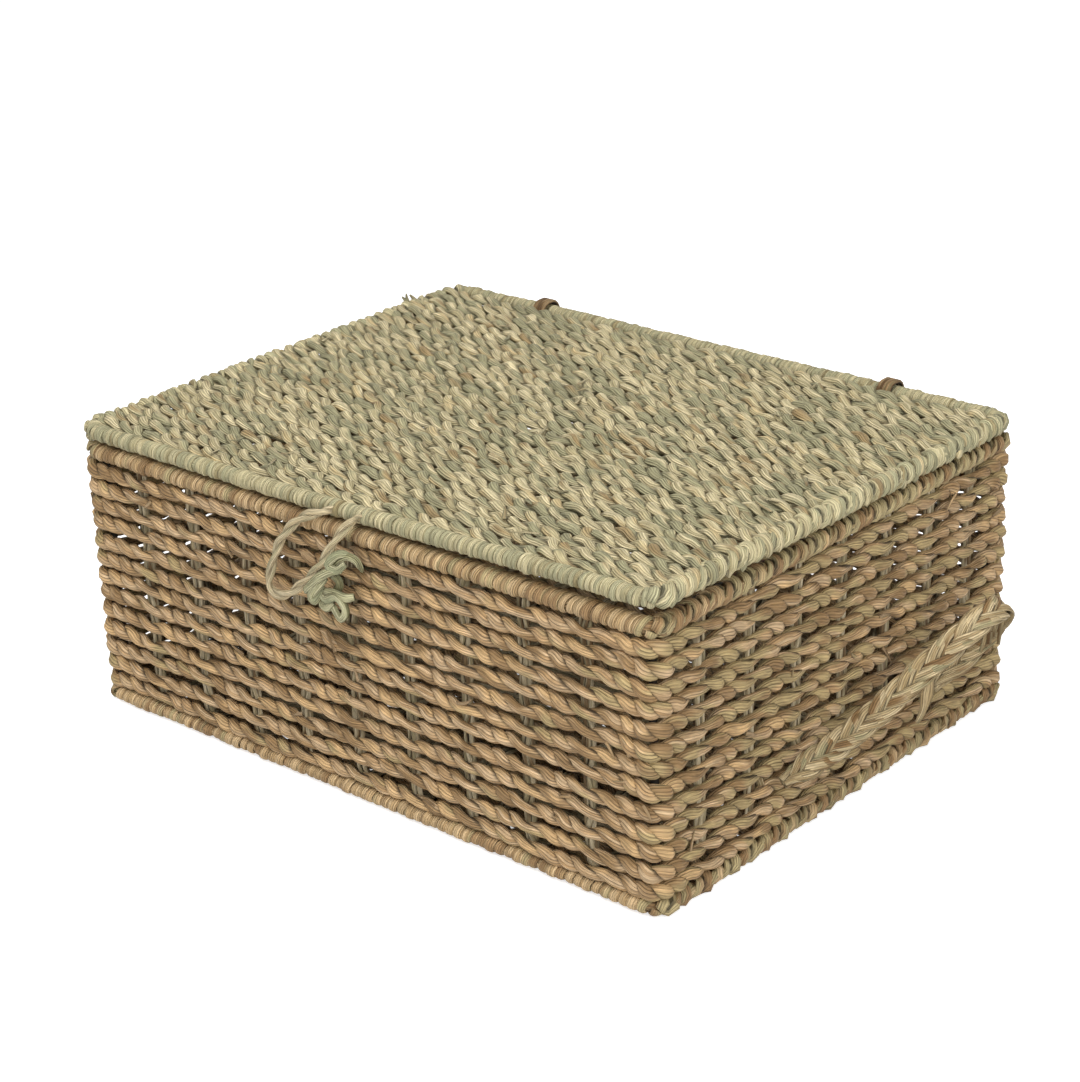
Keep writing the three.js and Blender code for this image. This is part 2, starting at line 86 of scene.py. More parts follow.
class Body(Enum):
    """The moving bodies of the record."""

    BASKET = "basket"
    LID = "lid"
    LOOP = "loop"
    RIGHT_GRIP = "right_grip"
    LEFT_GRIP = "left_grip"


class Side(Enum):
    """An end wall, by the sign of its X."""

    RIGHT = 1
    LEFT = -1


def srgb(red: int, green: int, blue: int) -> Colour:
    """Turns a colour as seen on a screen into linear light.

    Args:
        red, green, blue: channels from 0 to 255.

    Returns:
        The colour with full alpha.
    """
    def linear(channel: int) -> float:
        """One channel in linear light."""
        part = channel / 255
        return part / 12.92 if part <= 0.04045 else ((part + 0.055) / 1.055) ** 2.4

    return (linear(red), linear(green), linear(blue), 1.0)


class Term:
    """A node socket that takes part in arithmetic."""

    def __init__(self, graph: "NodeGraph", socket: Socket) -> None:
        """Keeps the socket and the graph that it belongs to."""
        self.graph = graph
        self.socket = socket

    def __add__(self, other: "Term | float") -> "Term":
        """The sum."""
        return self.graph.math("ADD", self, other)

    __radd__ = __add__

    def __sub__(self, other: "Term | float") -> "Term":
        """The difference."""
        return self.graph.math("SUBTRACT", self, other)

    def __rsub__(self, other: float) -> "Term":
        """A number less the socket."""
        return self.graph.math("SUBTRACT", other, self)

    def __mul__(self, other: "Term | float") -> "Term":
        """The product."""
        return self.graph.math("MULTIPLY", self, other)

    def __rtruediv__(self, other: float) -> "Term":
        """A number over the socket."""
        return self.graph.math("DIVIDE", other, self)

    def ease(self, low: float, high: float, start: float = 0.0, end: float = 1.0) -> "Term":
        """Maps the value smoothly from one range to another.

        Args:
            low, high: the range read from the socket.
            start, end: what those two become.

        Returns:
            The eased value, held at its two ends.
        """
        ends = {"From Min": low, "From Max": high, "To Min": start, "To Max": end}
        return self.graph.term(
            "ShaderNodeMapRange", {"Value": self, **ends}, "Result", interpolation_type="SMOOTHSTEP"
        )


class NodeGraph:
    """Builds nodes in a shader or geometry tree."""

    def __init__(self, tree: bpy.types.NodeTree) -> None:
        """Keeps the tree that the nodes go into."""
        self.tree = tree

    def node(
        self, kind: str, sockets: dict[str | int, object] | None = None, **settings: object
    ) -> bpy.types.Node:
        """Adds one node.

        Args:
            kind: the node's type.
            sockets: values or links of its inputs, by name or number.
            **settings: its properties, which are set first.

        Returns:
            The new node.
        """
        node = self.tree.nodes.new(kind)
        for name, value in settings.items():
            setattr(node, name, value)
        for key, value in (sockets or {}).items():
            self.feed(self.find(node.inputs, key), value)
        return node

    def term(
        self,
        kind: str,
        sockets: dict[str | int, object] | None = None,
        key: str | int = 0,
        **settings: object,
    ) -> Term:
        """Adds one node and takes one of its outputs."""
        return self.out(self.node(kind, sockets, **settings), key)

    @staticmethod
    def find(sockets: Sequence[Socket], key: str | int) -> Socket:
        """The socket in use that has that name or number."""
        if isinstance(key, int):
            return sockets[key]
        return next(socket for socket in sockets if socket.name == key and socket.enabled)

    def feed(self, socket: Socket, value: object) -> None:
        """Links a term to a socket, or sets the socket to a plain value."""
        if isinstance(value, Term):
            self.tree.links.new(value.socket, socket)
        else:
            socket.default_value = value

    def out(self, node: bpy.types.Node, key: str | int = 0) -> Term:
        """One output of a node as a term."""
        return Term(self, self.find(node.outputs, key))

    def math(self, operation: str, *values: "Term | float") -> Term:
        """A Math node on values."""
        return self.term("ShaderNodeMath", dict(enumerate(values)), operation=operation)

    def scaled(self, vector: Term, factor: "Term | float") -> Term:
        """A vector or colour times a value."""
        sockets = {"Vector": vector, "Scale": factor}
        return self.term("ShaderNodeVectorMath", sockets, operation="SCALE")

    def noise(self, where: Term, scale: float, detail: float) -> Term:
        """Smooth noise from about 0 to 1."""
        sockets = {"Vector": where, "Scale": scale, "Detail": detail}
        return self.term("ShaderNodeTexNoise", sockets, "Fac")

    def grain(
        self, x: "Term | float", y: "Term | float", z: "Term | float", detail: float = 0.0
    ) -> Term:
        """Smooth noise at a place made of three values."""
        return self.noise(self.combined(x, y, z), 1.0, detail)

    def combined(self, x: "Term | float", y: "Term | float", z: "Term | float") -> Term:
        """A vector from three values."""
        return self.term("ShaderNodeCombineXYZ", {"X": x, "Y": y, "Z": z})

    def blended(self, factor: "Term | float", first: object, second: object) -> Term:
        """A colour between two colours."""
        return self.term(
            "ShaderNodeMix", {"Factor": factor, "A": first, "B": second}, "Result", data_type="RGBA"
        )


def new_material(name: str) -> tuple[Material, NodeGraph, bpy.types.Node]:
    """A material with its graph and its main shader."""
    material = bpy.data.materials.new(name)
    material.use_nodes = True
    return material, NodeGraph(material.node_tree), material.node_tree.nodes["Principled BSDF"]


@dataclass(frozen=True)
class Seagrass:
    """Dried seagrass leaf in fine parallel blades, with painted shade in its seams and recesses."""

    name: str
    pale: Screen
    body: Screen
    dark: Screen
    green: Screen
    straw: Screen = (206, 172, 112)
    dark_share: float = 0.0
    green_share: float = 0.0
    straw_share: float = 0.0
    end_wall_green: float = 0.0
    blades: int = 13
    # recess: painted shade on each strand's inner side, where it turns behind its partner or faces
    # into the weave
    recess: float = 0.75
    roughness: float = 0.62
    relief: float = 0.0005

    def material(self) -> Material:
        """Makes the finish.

        Returns:
            A material that reads the strand's own attributes.
        """
        material, graph, shader = new_material(self.name)
        read = {
            name: graph.term("ShaderNodeAttribute", key="Fac", attribute_name=name)
            for name in Loom.KEPT
        }
        ca, sa, along, tone = (read[name] for name in ("ca", "sa", "along", "tone"))
        # Each pattern is noise over the strand's girth, its own tone and the distance along it.
        drift = graph.grain(along * 45, tone * 91, 0.5, 1.0)
        round_it = graph.math("ARCTAN2", sa, ca) * (self.blades / (2 * math.pi)) + drift * 1.8
        cell = graph.math("FLOORED_MODULO", graph.math("FLOOR", round_it), float(self.blades))
        seam = graph.math("ABSOLUTE", graph.math("FRACT", round_it) - 0.5) * 2
        blade = graph.grain(cell * 3.7, tone * 43, along * 30)
        crease_shade = graph.grain(cell * 5.3, tone * 29, along * 55).ease(0.35, 0.65)
        fibre = graph.grain(round_it * 3, tone * 17, along * 70, 2.0)
        streak = graph.grain(round_it * 7, tone * 37, along * 190, 1.0)
        blotch = graph.grain(ca * 1.6 + tone * 71, sa * 1.6, along * 170, 2.0)
        colour = graph.blended(blade.ease(0.3, 0.7), srgb(*self.body), srgb(*self.pale))
        for seed, share, tint in (
            (5.0, self.straw_share, self.straw),
            (23.0, self._green_cover(graph), self.green),
            (61.0, self.dark_share, self.dark),
        ):
            colour = self._tinted(graph, colour, read, seed, share, tint)
        # Fibre grain in the leaf's tone, with painted shade along the seams between blades where
        # the crease noise is high.
        shade = fibre.ease(0.3, 0.7, 0.8, 1.08) * (1 - seam.ease(0.6, 1.0) * crease_shade * 0.7)
        shade = shade * streak.ease(0.3, 0.7, 0.76, 1.12) * blotch.ease(0.32, 0.68, 0.80, 1.10)
        # Painted shade: darkens the side of each strand that turns behind its partner or faces into
        # the weave.
        inner = sa * read["open"] + ca * read["side"]
        shade = shade * inner.ease(-0.75, 0.05, 1 - self.recess, 1.0)
        gloss = fibre.ease(0.2, 0.8, self.roughness + 0.12, self.roughness - 0.1)
        height = fibre * 0.4 + streak * 0.5 + blotch * 0.5 + seam.ease(0.3, 1.0, 1.0, 0.0)
        bump = {"Strength": 0.8, "Distance": self.relief, "Height": height}
        graph.feed(shader.inputs["Base Color"], graph.scaled(colour, shade))
        graph.feed(shader.inputs["Roughness"], gloss)
        graph.feed(shader.inputs["Normal"], graph.term("ShaderNodeBump", bump))
        shader.inputs["Specular IOR Level"].default_value = 0.3
        return material

    def _green_cover(self, graph: NodeGraph) -> "Term | float":
        """How much leaf is green, with more of it on the end walls."""
        if not self.end_wall_green:
            return self.green_share
        place = graph.term("ShaderNodeTexCoord", key="Object")
        reach = graph.math("ABSOLUTE", graph.term("ShaderNodeSeparateXYZ", {"Vector": place}, "X"))
        return reach.ease(0.184, 0.196) * self.end_wall_green + self.green_share

    @staticmethod
    def _tinted(
        graph: NodeGraph,
        colour: Term,
        read: dict[str, Term],
        seed: float,
        share: "Term | float",
        tint: Screen,
    ) -> Term:
        """Lays a second colour over a share of the leaf, a few centimetres at a time.

        Args:
            graph: the material's graph.
            colour: what lies under it.
            read: the strand's attributes.
            seed: where its noise starts.
            share: how much it covers, from 0 to 1.
            tint: the second colour.

        Returns:
            The mixed colour.
        """
        if not isinstance(share, Term) and share <= 0:
            return colour
        along = read["along"] * 38 + read["tone"] * (seed * 3.1)
        patches = graph.grain(read["ca"] * 0.4 + seed, read["sa"] * 0.4, along)
        cover = graph.math("SUBTRACT", patches, 0.74 - share * 0.48)
        return graph.blended(cover.ease(-0.07, 0.09), colour, srgb(*tint))


@dataclass(frozen=True)
class Wire:
    """Drawn steel wire, dulled and lightly rusted."""

    name: str = "frame_wire"
    steel: Colour = srgb(92, 88, 82)
    rust: Colour = srgb(104, 66, 40)

    def material(self) -> Material:
        """Makes the finish.

        Returns:
            A material on Object coordinates.
        """
        material, graph, shader = new_material(self.name)
        place = graph.term("ShaderNodeTexCoord", key="Object")
        stain = graph.noise(place, 90.0, 3.0).ease(0.5, 0.68)
        grain = graph.noise(place, 900.0, 1.0)
        graph.feed(shader.inputs["Base Color"], graph.blended(stain, self.steel, self.rust))
        graph.feed(shader.inputs["Metallic"], 0.85 - stain * 0.7)
        graph.feed(shader.inputs["Roughness"], stain * 0.35 + grain * 0.2 + 0.3)
        return material


@dataclass(frozen=True)
class Lay:
    """How strands lie round a path: their count, swing and section."""

    plies: int
    half_width: float
    half_thickness: float
    sides: int = 12
    lobes: int = 4
    lobe_depth: float = 0.16
    harmonic: float = 1.0
    lag: float = 0.0
    unevenness: float = 0.12
    pinch: float = 0.0
    seed: int = 1


@dataclass
class StrandPath:
    """One path with the directions and amounts that its strands swing by."""

    points: np.ndarray
    out: np.ndarray
    rise: np.ndarray | None = None
    phase: np.ndarray | float = 0.0
    spread: np.ndarray | float = 0.0
    lift: np.ndarray | float = 0.0
    swell: np.ndarray | float = 1.0
    tone: float = 0.0
    closed: bool = False

    def __post_init__(self) -> None:
        """Gives each point its own directions where one is given for all."""
        self.out = np.broadcast_to(self.out, self.points.shape)
        if self.rise is not None:
            self.rise = np.broadcast_to(self.rise, self.points.shape)

    def along(self) -> np.ndarray:
        """Distance run at each point."""
        return distances(self.points)

    def across(self) -> np.ndarray:
        """The second direction of the swing, square to the path."""
        if self.rise is not None:
            return self.rise
        return unit(np.cross(self.out, tangents(self.points, self.closed)))

    def hand(self) -> np.ndarray:
        """One where the swing and the path are right-handed, and minus one elsewhere."""
        crossed = np.cross(tangents(self.points, self.closed), self.out)
        return np.where(np.sum(crossed * self.across(), axis=1) > 0, 1.0, -1.0)


def unit(vectors: np.ndarray) -> np.ndarray:
    """Vectors at length one."""
    return vectors / np.maximum(np.linalg.norm(vectors, axis=-1, keepdims=True), 1e-12)


def distances(points: np.ndarray) -> np.ndarray:
    """The distance run at each point of a path."""
    steps = np.linalg.norm(np.diff(points, axis=0), axis=1)
    return np.concatenate(([0.0], np.cumsum(steps)))


def tangents(points: np.ndarray, closed: bool = False) -> np.ndarray:
    """The direction of a path at each point.

    Args:
        points: the path.
        closed: whether the last point joins the first.

    Returns:
        One unit vector for each point.
    """
    if closed:
        return unit(np.roll(points, -1, axis=0) - np.roll(points, 1, axis=0))
    return unit(np.gradient(points, axis=0))


def smooth_curve(stations: np.ndarray, step: float) -> np.ndarray:
    """Runs a smooth curve through stations.

    Args:
        stations: rows of numbers, of which the first three are a place.
        step: the distance between points of the result.

    Returns:
        Rows on the curve, evenly spaced.
    """
    ends = np.vstack((2 * stations[0] - stations[1], stations, 2 * stations[-1] - stations[-2]))
    rows = []
    for index in range(1, len(ends) - 2):
        before, start, end, after = ends[index - 1:index + 3]
        t = np.linspace(0.0, 1.0, 24, endpoint=False)[:, None]
        rows.append(0.5 * (
            2 * start + (end - before) * t + (2 * before - 5 * start + 4 * end - after) * t**2
            + (3 * start - before - 3 * end + after) * t**3
        ))
    curve = np.vstack((*rows, stations[-1:]))
    run = distances(curve[:, :3])
    even = np.linspace(0.0, run[-1], max(4, round(run[-1] / step) + 1))
    return np.column_stack([np.interp(even, run, column) for column in curve.T])


def distance_to(run: np.ndarray, marks: Sequence[float]) -> np.ndarray:
    """How far each distance is from the nearest mark."""
    return np.min(np.abs(run[:, None] - np.array(marks)[None, :]), axis=1)


def wander(
    run: np.ndarray, total: float, size: float, waves: int, rng: np.random.Generator
) -> np.ndarray:
    """A slow wave that closes on itself.

    Args:
        run: distances along the path.
        total: the length after which it repeats.
        size: about its largest value.
        waves: how many waves are summed.
        rng: the seeded source of their sizes.

    Returns:
        One value for each distance.
    """
    value = np.zeros_like(run)
    for wave in range(1, waves + 1):
        height, start = rng.normal(), rng.uniform(0, 2 * math.pi)
        value += height * np.sin(2 * math.pi * wave * run / total + start)
    return size * value / math.sqrt(waves)


class Loom:
    """Lays strands along paths with one Geometry Nodes tree."""

    VALUES = ("phase", "spread", "lift", "swell", "along", "tone", "hand")
    KEPT = ("ca", "sa", "along", "tone", "open", "side")

    def __init__(self) -> None:
        """Builds the tree once for every piece."""
        self.tree = bpy.data.node_groups.new("laid_strands", "GeometryNodeTree")
        add_socket = self.tree.interface.new_socket
        kinds = {item.name: item.type.__name__.capitalize() for item in fields(Lay)}
        self.inputs: dict[str, str] = {}
        for name, kind in {"geometry": "Geometry", **kinds, "material": "Material"}.items():
            socket = add_socket(name, in_out="INPUT", socket_type=f"NodeSocket{kind}")
            self.inputs[name] = socket.identifier
        add_socket("geometry", in_out="OUTPUT", socket_type="NodeSocketGeometry")
        self._fill(NodeGraph(self.tree))

    def _fill(self, graph: NodeGraph) -> None:
        """Adds the nodes that swing, sweep and mark the strands."""
        source = graph.node("NodeGroupInput")
        given = {name: graph.out(source, name) for name in self.inputs}
        read = {name: self._named(graph, name) for name in (*self.VALUES, "ply", "open")}
        out, rise = (self._named(graph, name, "FLOAT_VECTOR") for name in ("out", "rise"))
        curve = graph.term("GeometryNodeMeshToCurve", {"Mesh": given["geometry"]})
        sockets = {"Geometry": curve, "Amount": given["plies"]}
        copies = graph.node("GeometryNodeDuplicateElements", sockets, domain="SPLINE")
        copied = graph.out(copies, "Duplicate Index")
        strands = self._store(graph, graph.out(copies), "ply", copied, "CURVE")
        phase = read["phase"] + read["ply"] * (2 * math.pi / given["plies"])
        facing = graph.math("COSINE", phase * given["harmonic"] - given["lag"])
        aside = graph.math("SINE", phase)
        # The facing and the sideways turn are kept for the painted shade on the strands' inner
        # sides; the facing also pinches them.
        strands = self._store(graph, strands, "open", facing)
        strands = self._store(graph, strands, "side", aside * read["hand"])
        deep = graph.scaled(out, facing * read["spread"])
        wide = graph.scaled(rise, aside * read["lift"])
        swing = graph.term("ShaderNodeVectorMath", {0: deep, 1: wide}, operation="ADD")
        strands = graph.term("GeometryNodeSetPosition", {"Geometry": strands, "Offset": swing})
        sockets = {"Curve": strands, "Normal": out}
        strands = graph.term("GeometryNodeSetCurveNormal", sockets, mode="FREE")
        rough = graph.grain(
            read["along"] * 70, read["ply"] * 7.3 + given["seed"], read["tone"] * 53, 1.0
        ) - 0.5
        strands = graph.term("GeometryNodeSetCurveTilt", {"Curve": strands, "Tilt": rough * 1.2})
        scale = read["swell"] * (1 + rough * given["unevenness"] * 2)
        scale = scale * (1 - given["pinch"] * (1 - read["open"]) * 0.5)
        sweep = {"Curve": strands, "Profile Curve": self._section(graph, given), "Scale": scale}
        mesh = graph.term("GeometryNodeCurveToMesh", {**sweep, "Fill Caps": True})
        mixed = graph.math("FRACT", read["tone"] + read["ply"] * 0.377)
        mesh = self._store(graph, mesh, "tone", mixed)
        mesh = graph.term("GeometryNodeSetShadeSmooth", {"Geometry": mesh})
        mesh = graph.term("GeometryNodeRealizeInstances", {"Geometry": mesh})
        finished = {"Geometry": mesh, "Material": given["material"]}
        graph.node("NodeGroupOutput", {"geometry": graph.term("GeometryNodeSetMaterial", finished)})

    def _section(self, graph: NodeGraph, given: dict[str, Term]) -> Term:
        """The lobed section of one strand, with its angle stored on it.

        Args:
            graph: the tree's graph.
            given: the tree's inputs.

        Returns:
            The section as a curve.
        """
        round_one = {"Resolution": given["sides"], "Radius": 1.0}
        section = graph.term("GeometryNodeCurvePrimitiveCircle", round_one)
        place = {"Vector": graph.term("GeometryNodeInputPosition")}
        x, y = (graph.term("ShaderNodeSeparateXYZ", place, key) for key in ("X", "Y"))
        groove = 0.5 - graph.math("COSINE", graph.math("ARCTAN2", y, x) * given["lobes"]) * 0.5
        for name, value in (("ca", x), ("sa", y), ("groove", groove)):
            section = self._store(graph, section, name, value)
        ca, sa, cut = (self._named(graph, name) for name in ("ca", "sa", "groove"))
        reach = 1 - cut * given["lobe_depth"]
        shape = graph.combined(
            sa * reach * given["half_thickness"], ca * reach * given["half_width"], 0.0
        )
        return graph.term("GeometryNodeSetPosition", {"Geometry": section, "Position": shape})

    @staticmethod
    def _named(graph: NodeGraph, name: str, kind: str = "FLOAT") -> Term:
        """Reads a named attribute."""
        return graph.term(
            "GeometryNodeInputNamedAttribute", {"Name": name}, "Attribute", data_type=kind
        )

    @staticmethod
    def _store(
        graph: NodeGraph, geometry: Term, name: str, value: Term, domain: str = "POINT"
    ) -> Term:
        """Stores a value as a named attribute."""
        sockets = {"Geometry": geometry, "Name": name, "Value": value}
        return graph.term(
            "GeometryNodeStoreNamedAttribute", sockets, data_type="FLOAT", domain=domain
        )

    def weave(self, name: str, paths: Sequence[StrandPath], lay: Lay, material: Material) -> Piece:
        """Lays strands along paths as one plain mesh.

        Args:
            name: the piece's name.
            paths: the paths, which may be closed or open.
            lay: how the strands lie.
            material: their finish.

        Returns:
            The piece, at the origin, with no modifier.
        """
        guide = self._guide(name, paths)
        carrier = bpy.data.objects.new(f"{name}_path", guide)
        bpy.context.scene.collection.objects.link(carrier)
        modifier = carrier.modifiers.new("laid_strands", "NODES")
        modifier.node_group = self.tree
        for label, value in {**vars(lay), "material": material}.items():
            modifier[self.inputs[label]] = value
        graph = bpy.context.evaluated_depsgraph_get()
        mesh = bpy.data.meshes.new_from_object(carrier.evaluated_get(graph))
        bpy.data.objects.remove(carrier)
        bpy.data.meshes.remove(guide)
        mesh.name = name
        kept = (*self.KEPT, "sharp_face", "material_index")
        for spare in [a.name for a in mesh.attributes if not a.is_internal and not a.is_required]:
            if spare not in kept:
                mesh.attributes.remove(mesh.attributes[spare])
        piece = bpy.data.objects.new(name, mesh)
        bpy.context.scene.collection.objects.link(piece)
        return piece

    def _guide(self, name: str, paths: Sequence[StrandPath]) -> bpy.types.Mesh:
        """A mesh of edges that carries the paths and their amounts.

        Args:
            name: the piece's name.
            paths: the paths.

        Returns:
            The mesh.
        """
        starts = np.cumsum([0] + [len(path.points) for path in paths])
        edges: list[tuple[int, int]] = []
        for start, path in zip(starts, paths):
            count = len(path.points)
            edges += [(int(start) + i, int(start) + i + 1) for i in range(count - 1)]
            if path.closed:
                edges.append((int(start) + count - 1, int(start)))
        mesh = bpy.data.meshes.new(f"{name}_guide")
        mesh.from_pydata(np.vstack([path.points for path in paths]).tolist(), edges, [])
        for label in self.VALUES:
            given = [getattr(path, label) for path in paths]
            values = [
                np.broadcast_to(value() if callable(value) else value, len(path.points))
                for value, path in zip(given, paths)
            ]
            mesh.attributes.new(label, "FLOAT", "POINT").data.foreach_set(
                "value", np.concatenate(values).astype(np.float32)
            )
        directions = {
            "out": [path.out for path in paths],
            "rise": [path.across() for path in paths],
        }
        for label, vectors in directions.items():
            mesh.attributes.new(label, "FLOAT_VECTOR", "POINT").data.foreach_set(
                "vector", np.vstack(vectors).astype(np.float32).ravel()
            )
        return mesh


def joined(name: str, pieces: Sequence[Piece]) -> Piece:
    """Joins pieces that make one part.

    Args:
        name: the part's name.
        pieces: its meshes.

    Returns:
        The part.
    """
    first = pieces[0]
    with bpy.context.temp_override(
        active_object=first, object=first, selected_objects=pieces, selected_editable_objects=pieces
    ):
        bpy.ops.object.join()
    first.name = name
    first.data.name = name
    return first


def reshaped(piece: Piece, heights: Callable[[np.ndarray], np.ndarray]) -> Piece:
    """Gives a piece's vertices new heights.

    Args:
        piece: the mesh.
        heights: takes the vertices' places and gives their heights.

    Returns:
        The piece.
    """
    co = np.empty(len(piece.data.vertices) * 3, dtype=np.float32)
    piece.data.vertices.foreach_get("co", co)
    co = co.reshape(-1, 3)
    co[:, 2] = heights(co)
    piece.data.vertices.foreach_set("co", co.ravel())
    piece.data.update()
    return piece


def pressed(co: np.ndarray) -> np.ndarray:
    """Heights with what would pass through the ground flattened, as leaf is under the box."""
    z = co[:, 2]
    return np.where(z < PRESSED, PRESSED * np.exp(np.minimum(z / PRESSED - 1, 0)), z)


def fit(piece: Piece, body: Body, slot: str, *nodes: str) -> Piece:
    """Puts a piece on its body in place of its CAD nodes.

    Args:
        piece: the finished mesh.
        body: what it moves with.
        slot: the record's material slot; not used.
        nodes: the CAD nodes that it stands for.

    Returns:
        The piece.
    """
    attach(piece, body.value)
    if nodes:
        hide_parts(*nodes)
    triangles = sum(len(face.vertices) - 2 for face in piece.data.polygons)
    LOG.info("%s on %s: %d triangles", piece.name, body.value, triangles)
    return piece


@dataclass(frozen=True)
class Ring:
    """A rounded oblong seen from above, run from the middle of the back towards the left."""

    half_length: float
    half_depth: float
    corner: float

    @property
    def reach(self) -> tuple[float, float, float]:
        """Half the straight lengths along X and Y, and a corner's arc."""
        corner = self.corner
        return self.half_length - corner, self.half_depth - corner, corner * math.pi / 2

    @property
    def length(self) -> float:
        """The whole way round."""
        along_x, along_y, arc = self.reach
        return 4 * (along_x + along_y + arc)

    def at(self, run: np.ndarray) -> tuple[np.ndarray, np.ndarray]:
        """Places on the ring.

        Args:
            run: distances from the middle of the back.

        Returns:
            Points at z = 0 and the outward directions there.
        """
        along_x, along_y, _ = self.reach
        points, outward = [], []
        corners = ((-1, 1, 90.0), (-1, -1, 180.0), (1, -1, 270.0), (1, 1, 0.0))
        for sign_x, sign_y, angle in corners:
            turn = np.radians(np.linspace(angle, angle + 90, 13))
            facing = np.column_stack((np.cos(turn), np.sin(turn), np.zeros(13)))
            outward.append(facing)
            centre = np.array((sign_x * along_x, sign_y * along_y, 0.0))
            points.append(centre + facing * self.corner)
        back = NORTH[None] * self.half_depth
        points_all = np.vstack((back, *points, back))
        outward_all = np.vstack((NORTH, *outward, NORTH))
        lengths = distances(points_all)
        share = np.mod(run, self.length) / self.length * lengths[-1]

        def read(rows: np.ndarray) -> np.ndarray:
            """The rows at those distances."""
            return np.column_stack([np.interp(share, lengths, column) for column in rows.T])

        return read(points_all), unit(read(outward_all))

    def front(self, x: float) -> float:
        """The distance at which the front wall has that x."""
        return self.length / 2 + x

    def right(self, y: float) -> float:
        """The distance at which the right wall has that y."""
        return self.length * 0.75 + y

    def left(self, y: float) -> float:
        """The distance at which the left wall has that y."""
        return self.length / 4 - y

    def back(self, x: float) -> float:
        """The distance at which the back wall has that x."""
        return -x if x <= 0 else self.length - x

    def corners(self) -> list[float]:
        """The distances at the middles of the four corners."""
        along_x, _, arc = self.reach
        first, half = along_x + arc / 2, self.length / 2
        return [first, half - first, half + first, self.length - first]


def leaf_end(
    start: np.ndarray, aim: np.ndarray, facing: np.ndarray, length: float, rng: np.random.Generator
) -> StrandPath:
    """One loose leaf tip that lies along a surface and lifts off it.

    Args:
        start: where it leaves the weave.
        aim: the direction it runs in.
        facing: the surface's outward direction.
        length: its length.
        rng: the seeded source of its bend.

    Returns:
        The tip's path.
    """
    share = np.linspace(0, 1, 7)[:, None]
    aside = unit(np.cross(facing, aim)) * rng.normal(0, 0.22) * length
    off = facing * rng.uniform(0.02, 0.14) * length
    points = start + aim * share * length + (aside + off) * share**2
    return StrandPath(points, facing, tone=float(rng.random()), swell=1 - 0.6 * share[:, 0] ** 2)


LEAF_END = Lay(1, 0.0012, 0.0003, sides=6, lobes=2, lobe_depth=0.05, unevenness=0.2)


@dataclass(frozen=True)
class Winding:
    """How leaf goes round a hoop: in flat turns or as a twisted pair."""

    pitch: float
    thickness: float
    half_out: float
    half_up: float
    lean: float = 0.0
    twisted: bool = False


@dataclass(frozen=True)
class MatSize:
    """A mat of twined rows along X."""

    half_length: float
    back: float
    front: float
    rows: int
    height: float
    half_twist: float
    lift: float
    spread: float
    hook: float = 0.0


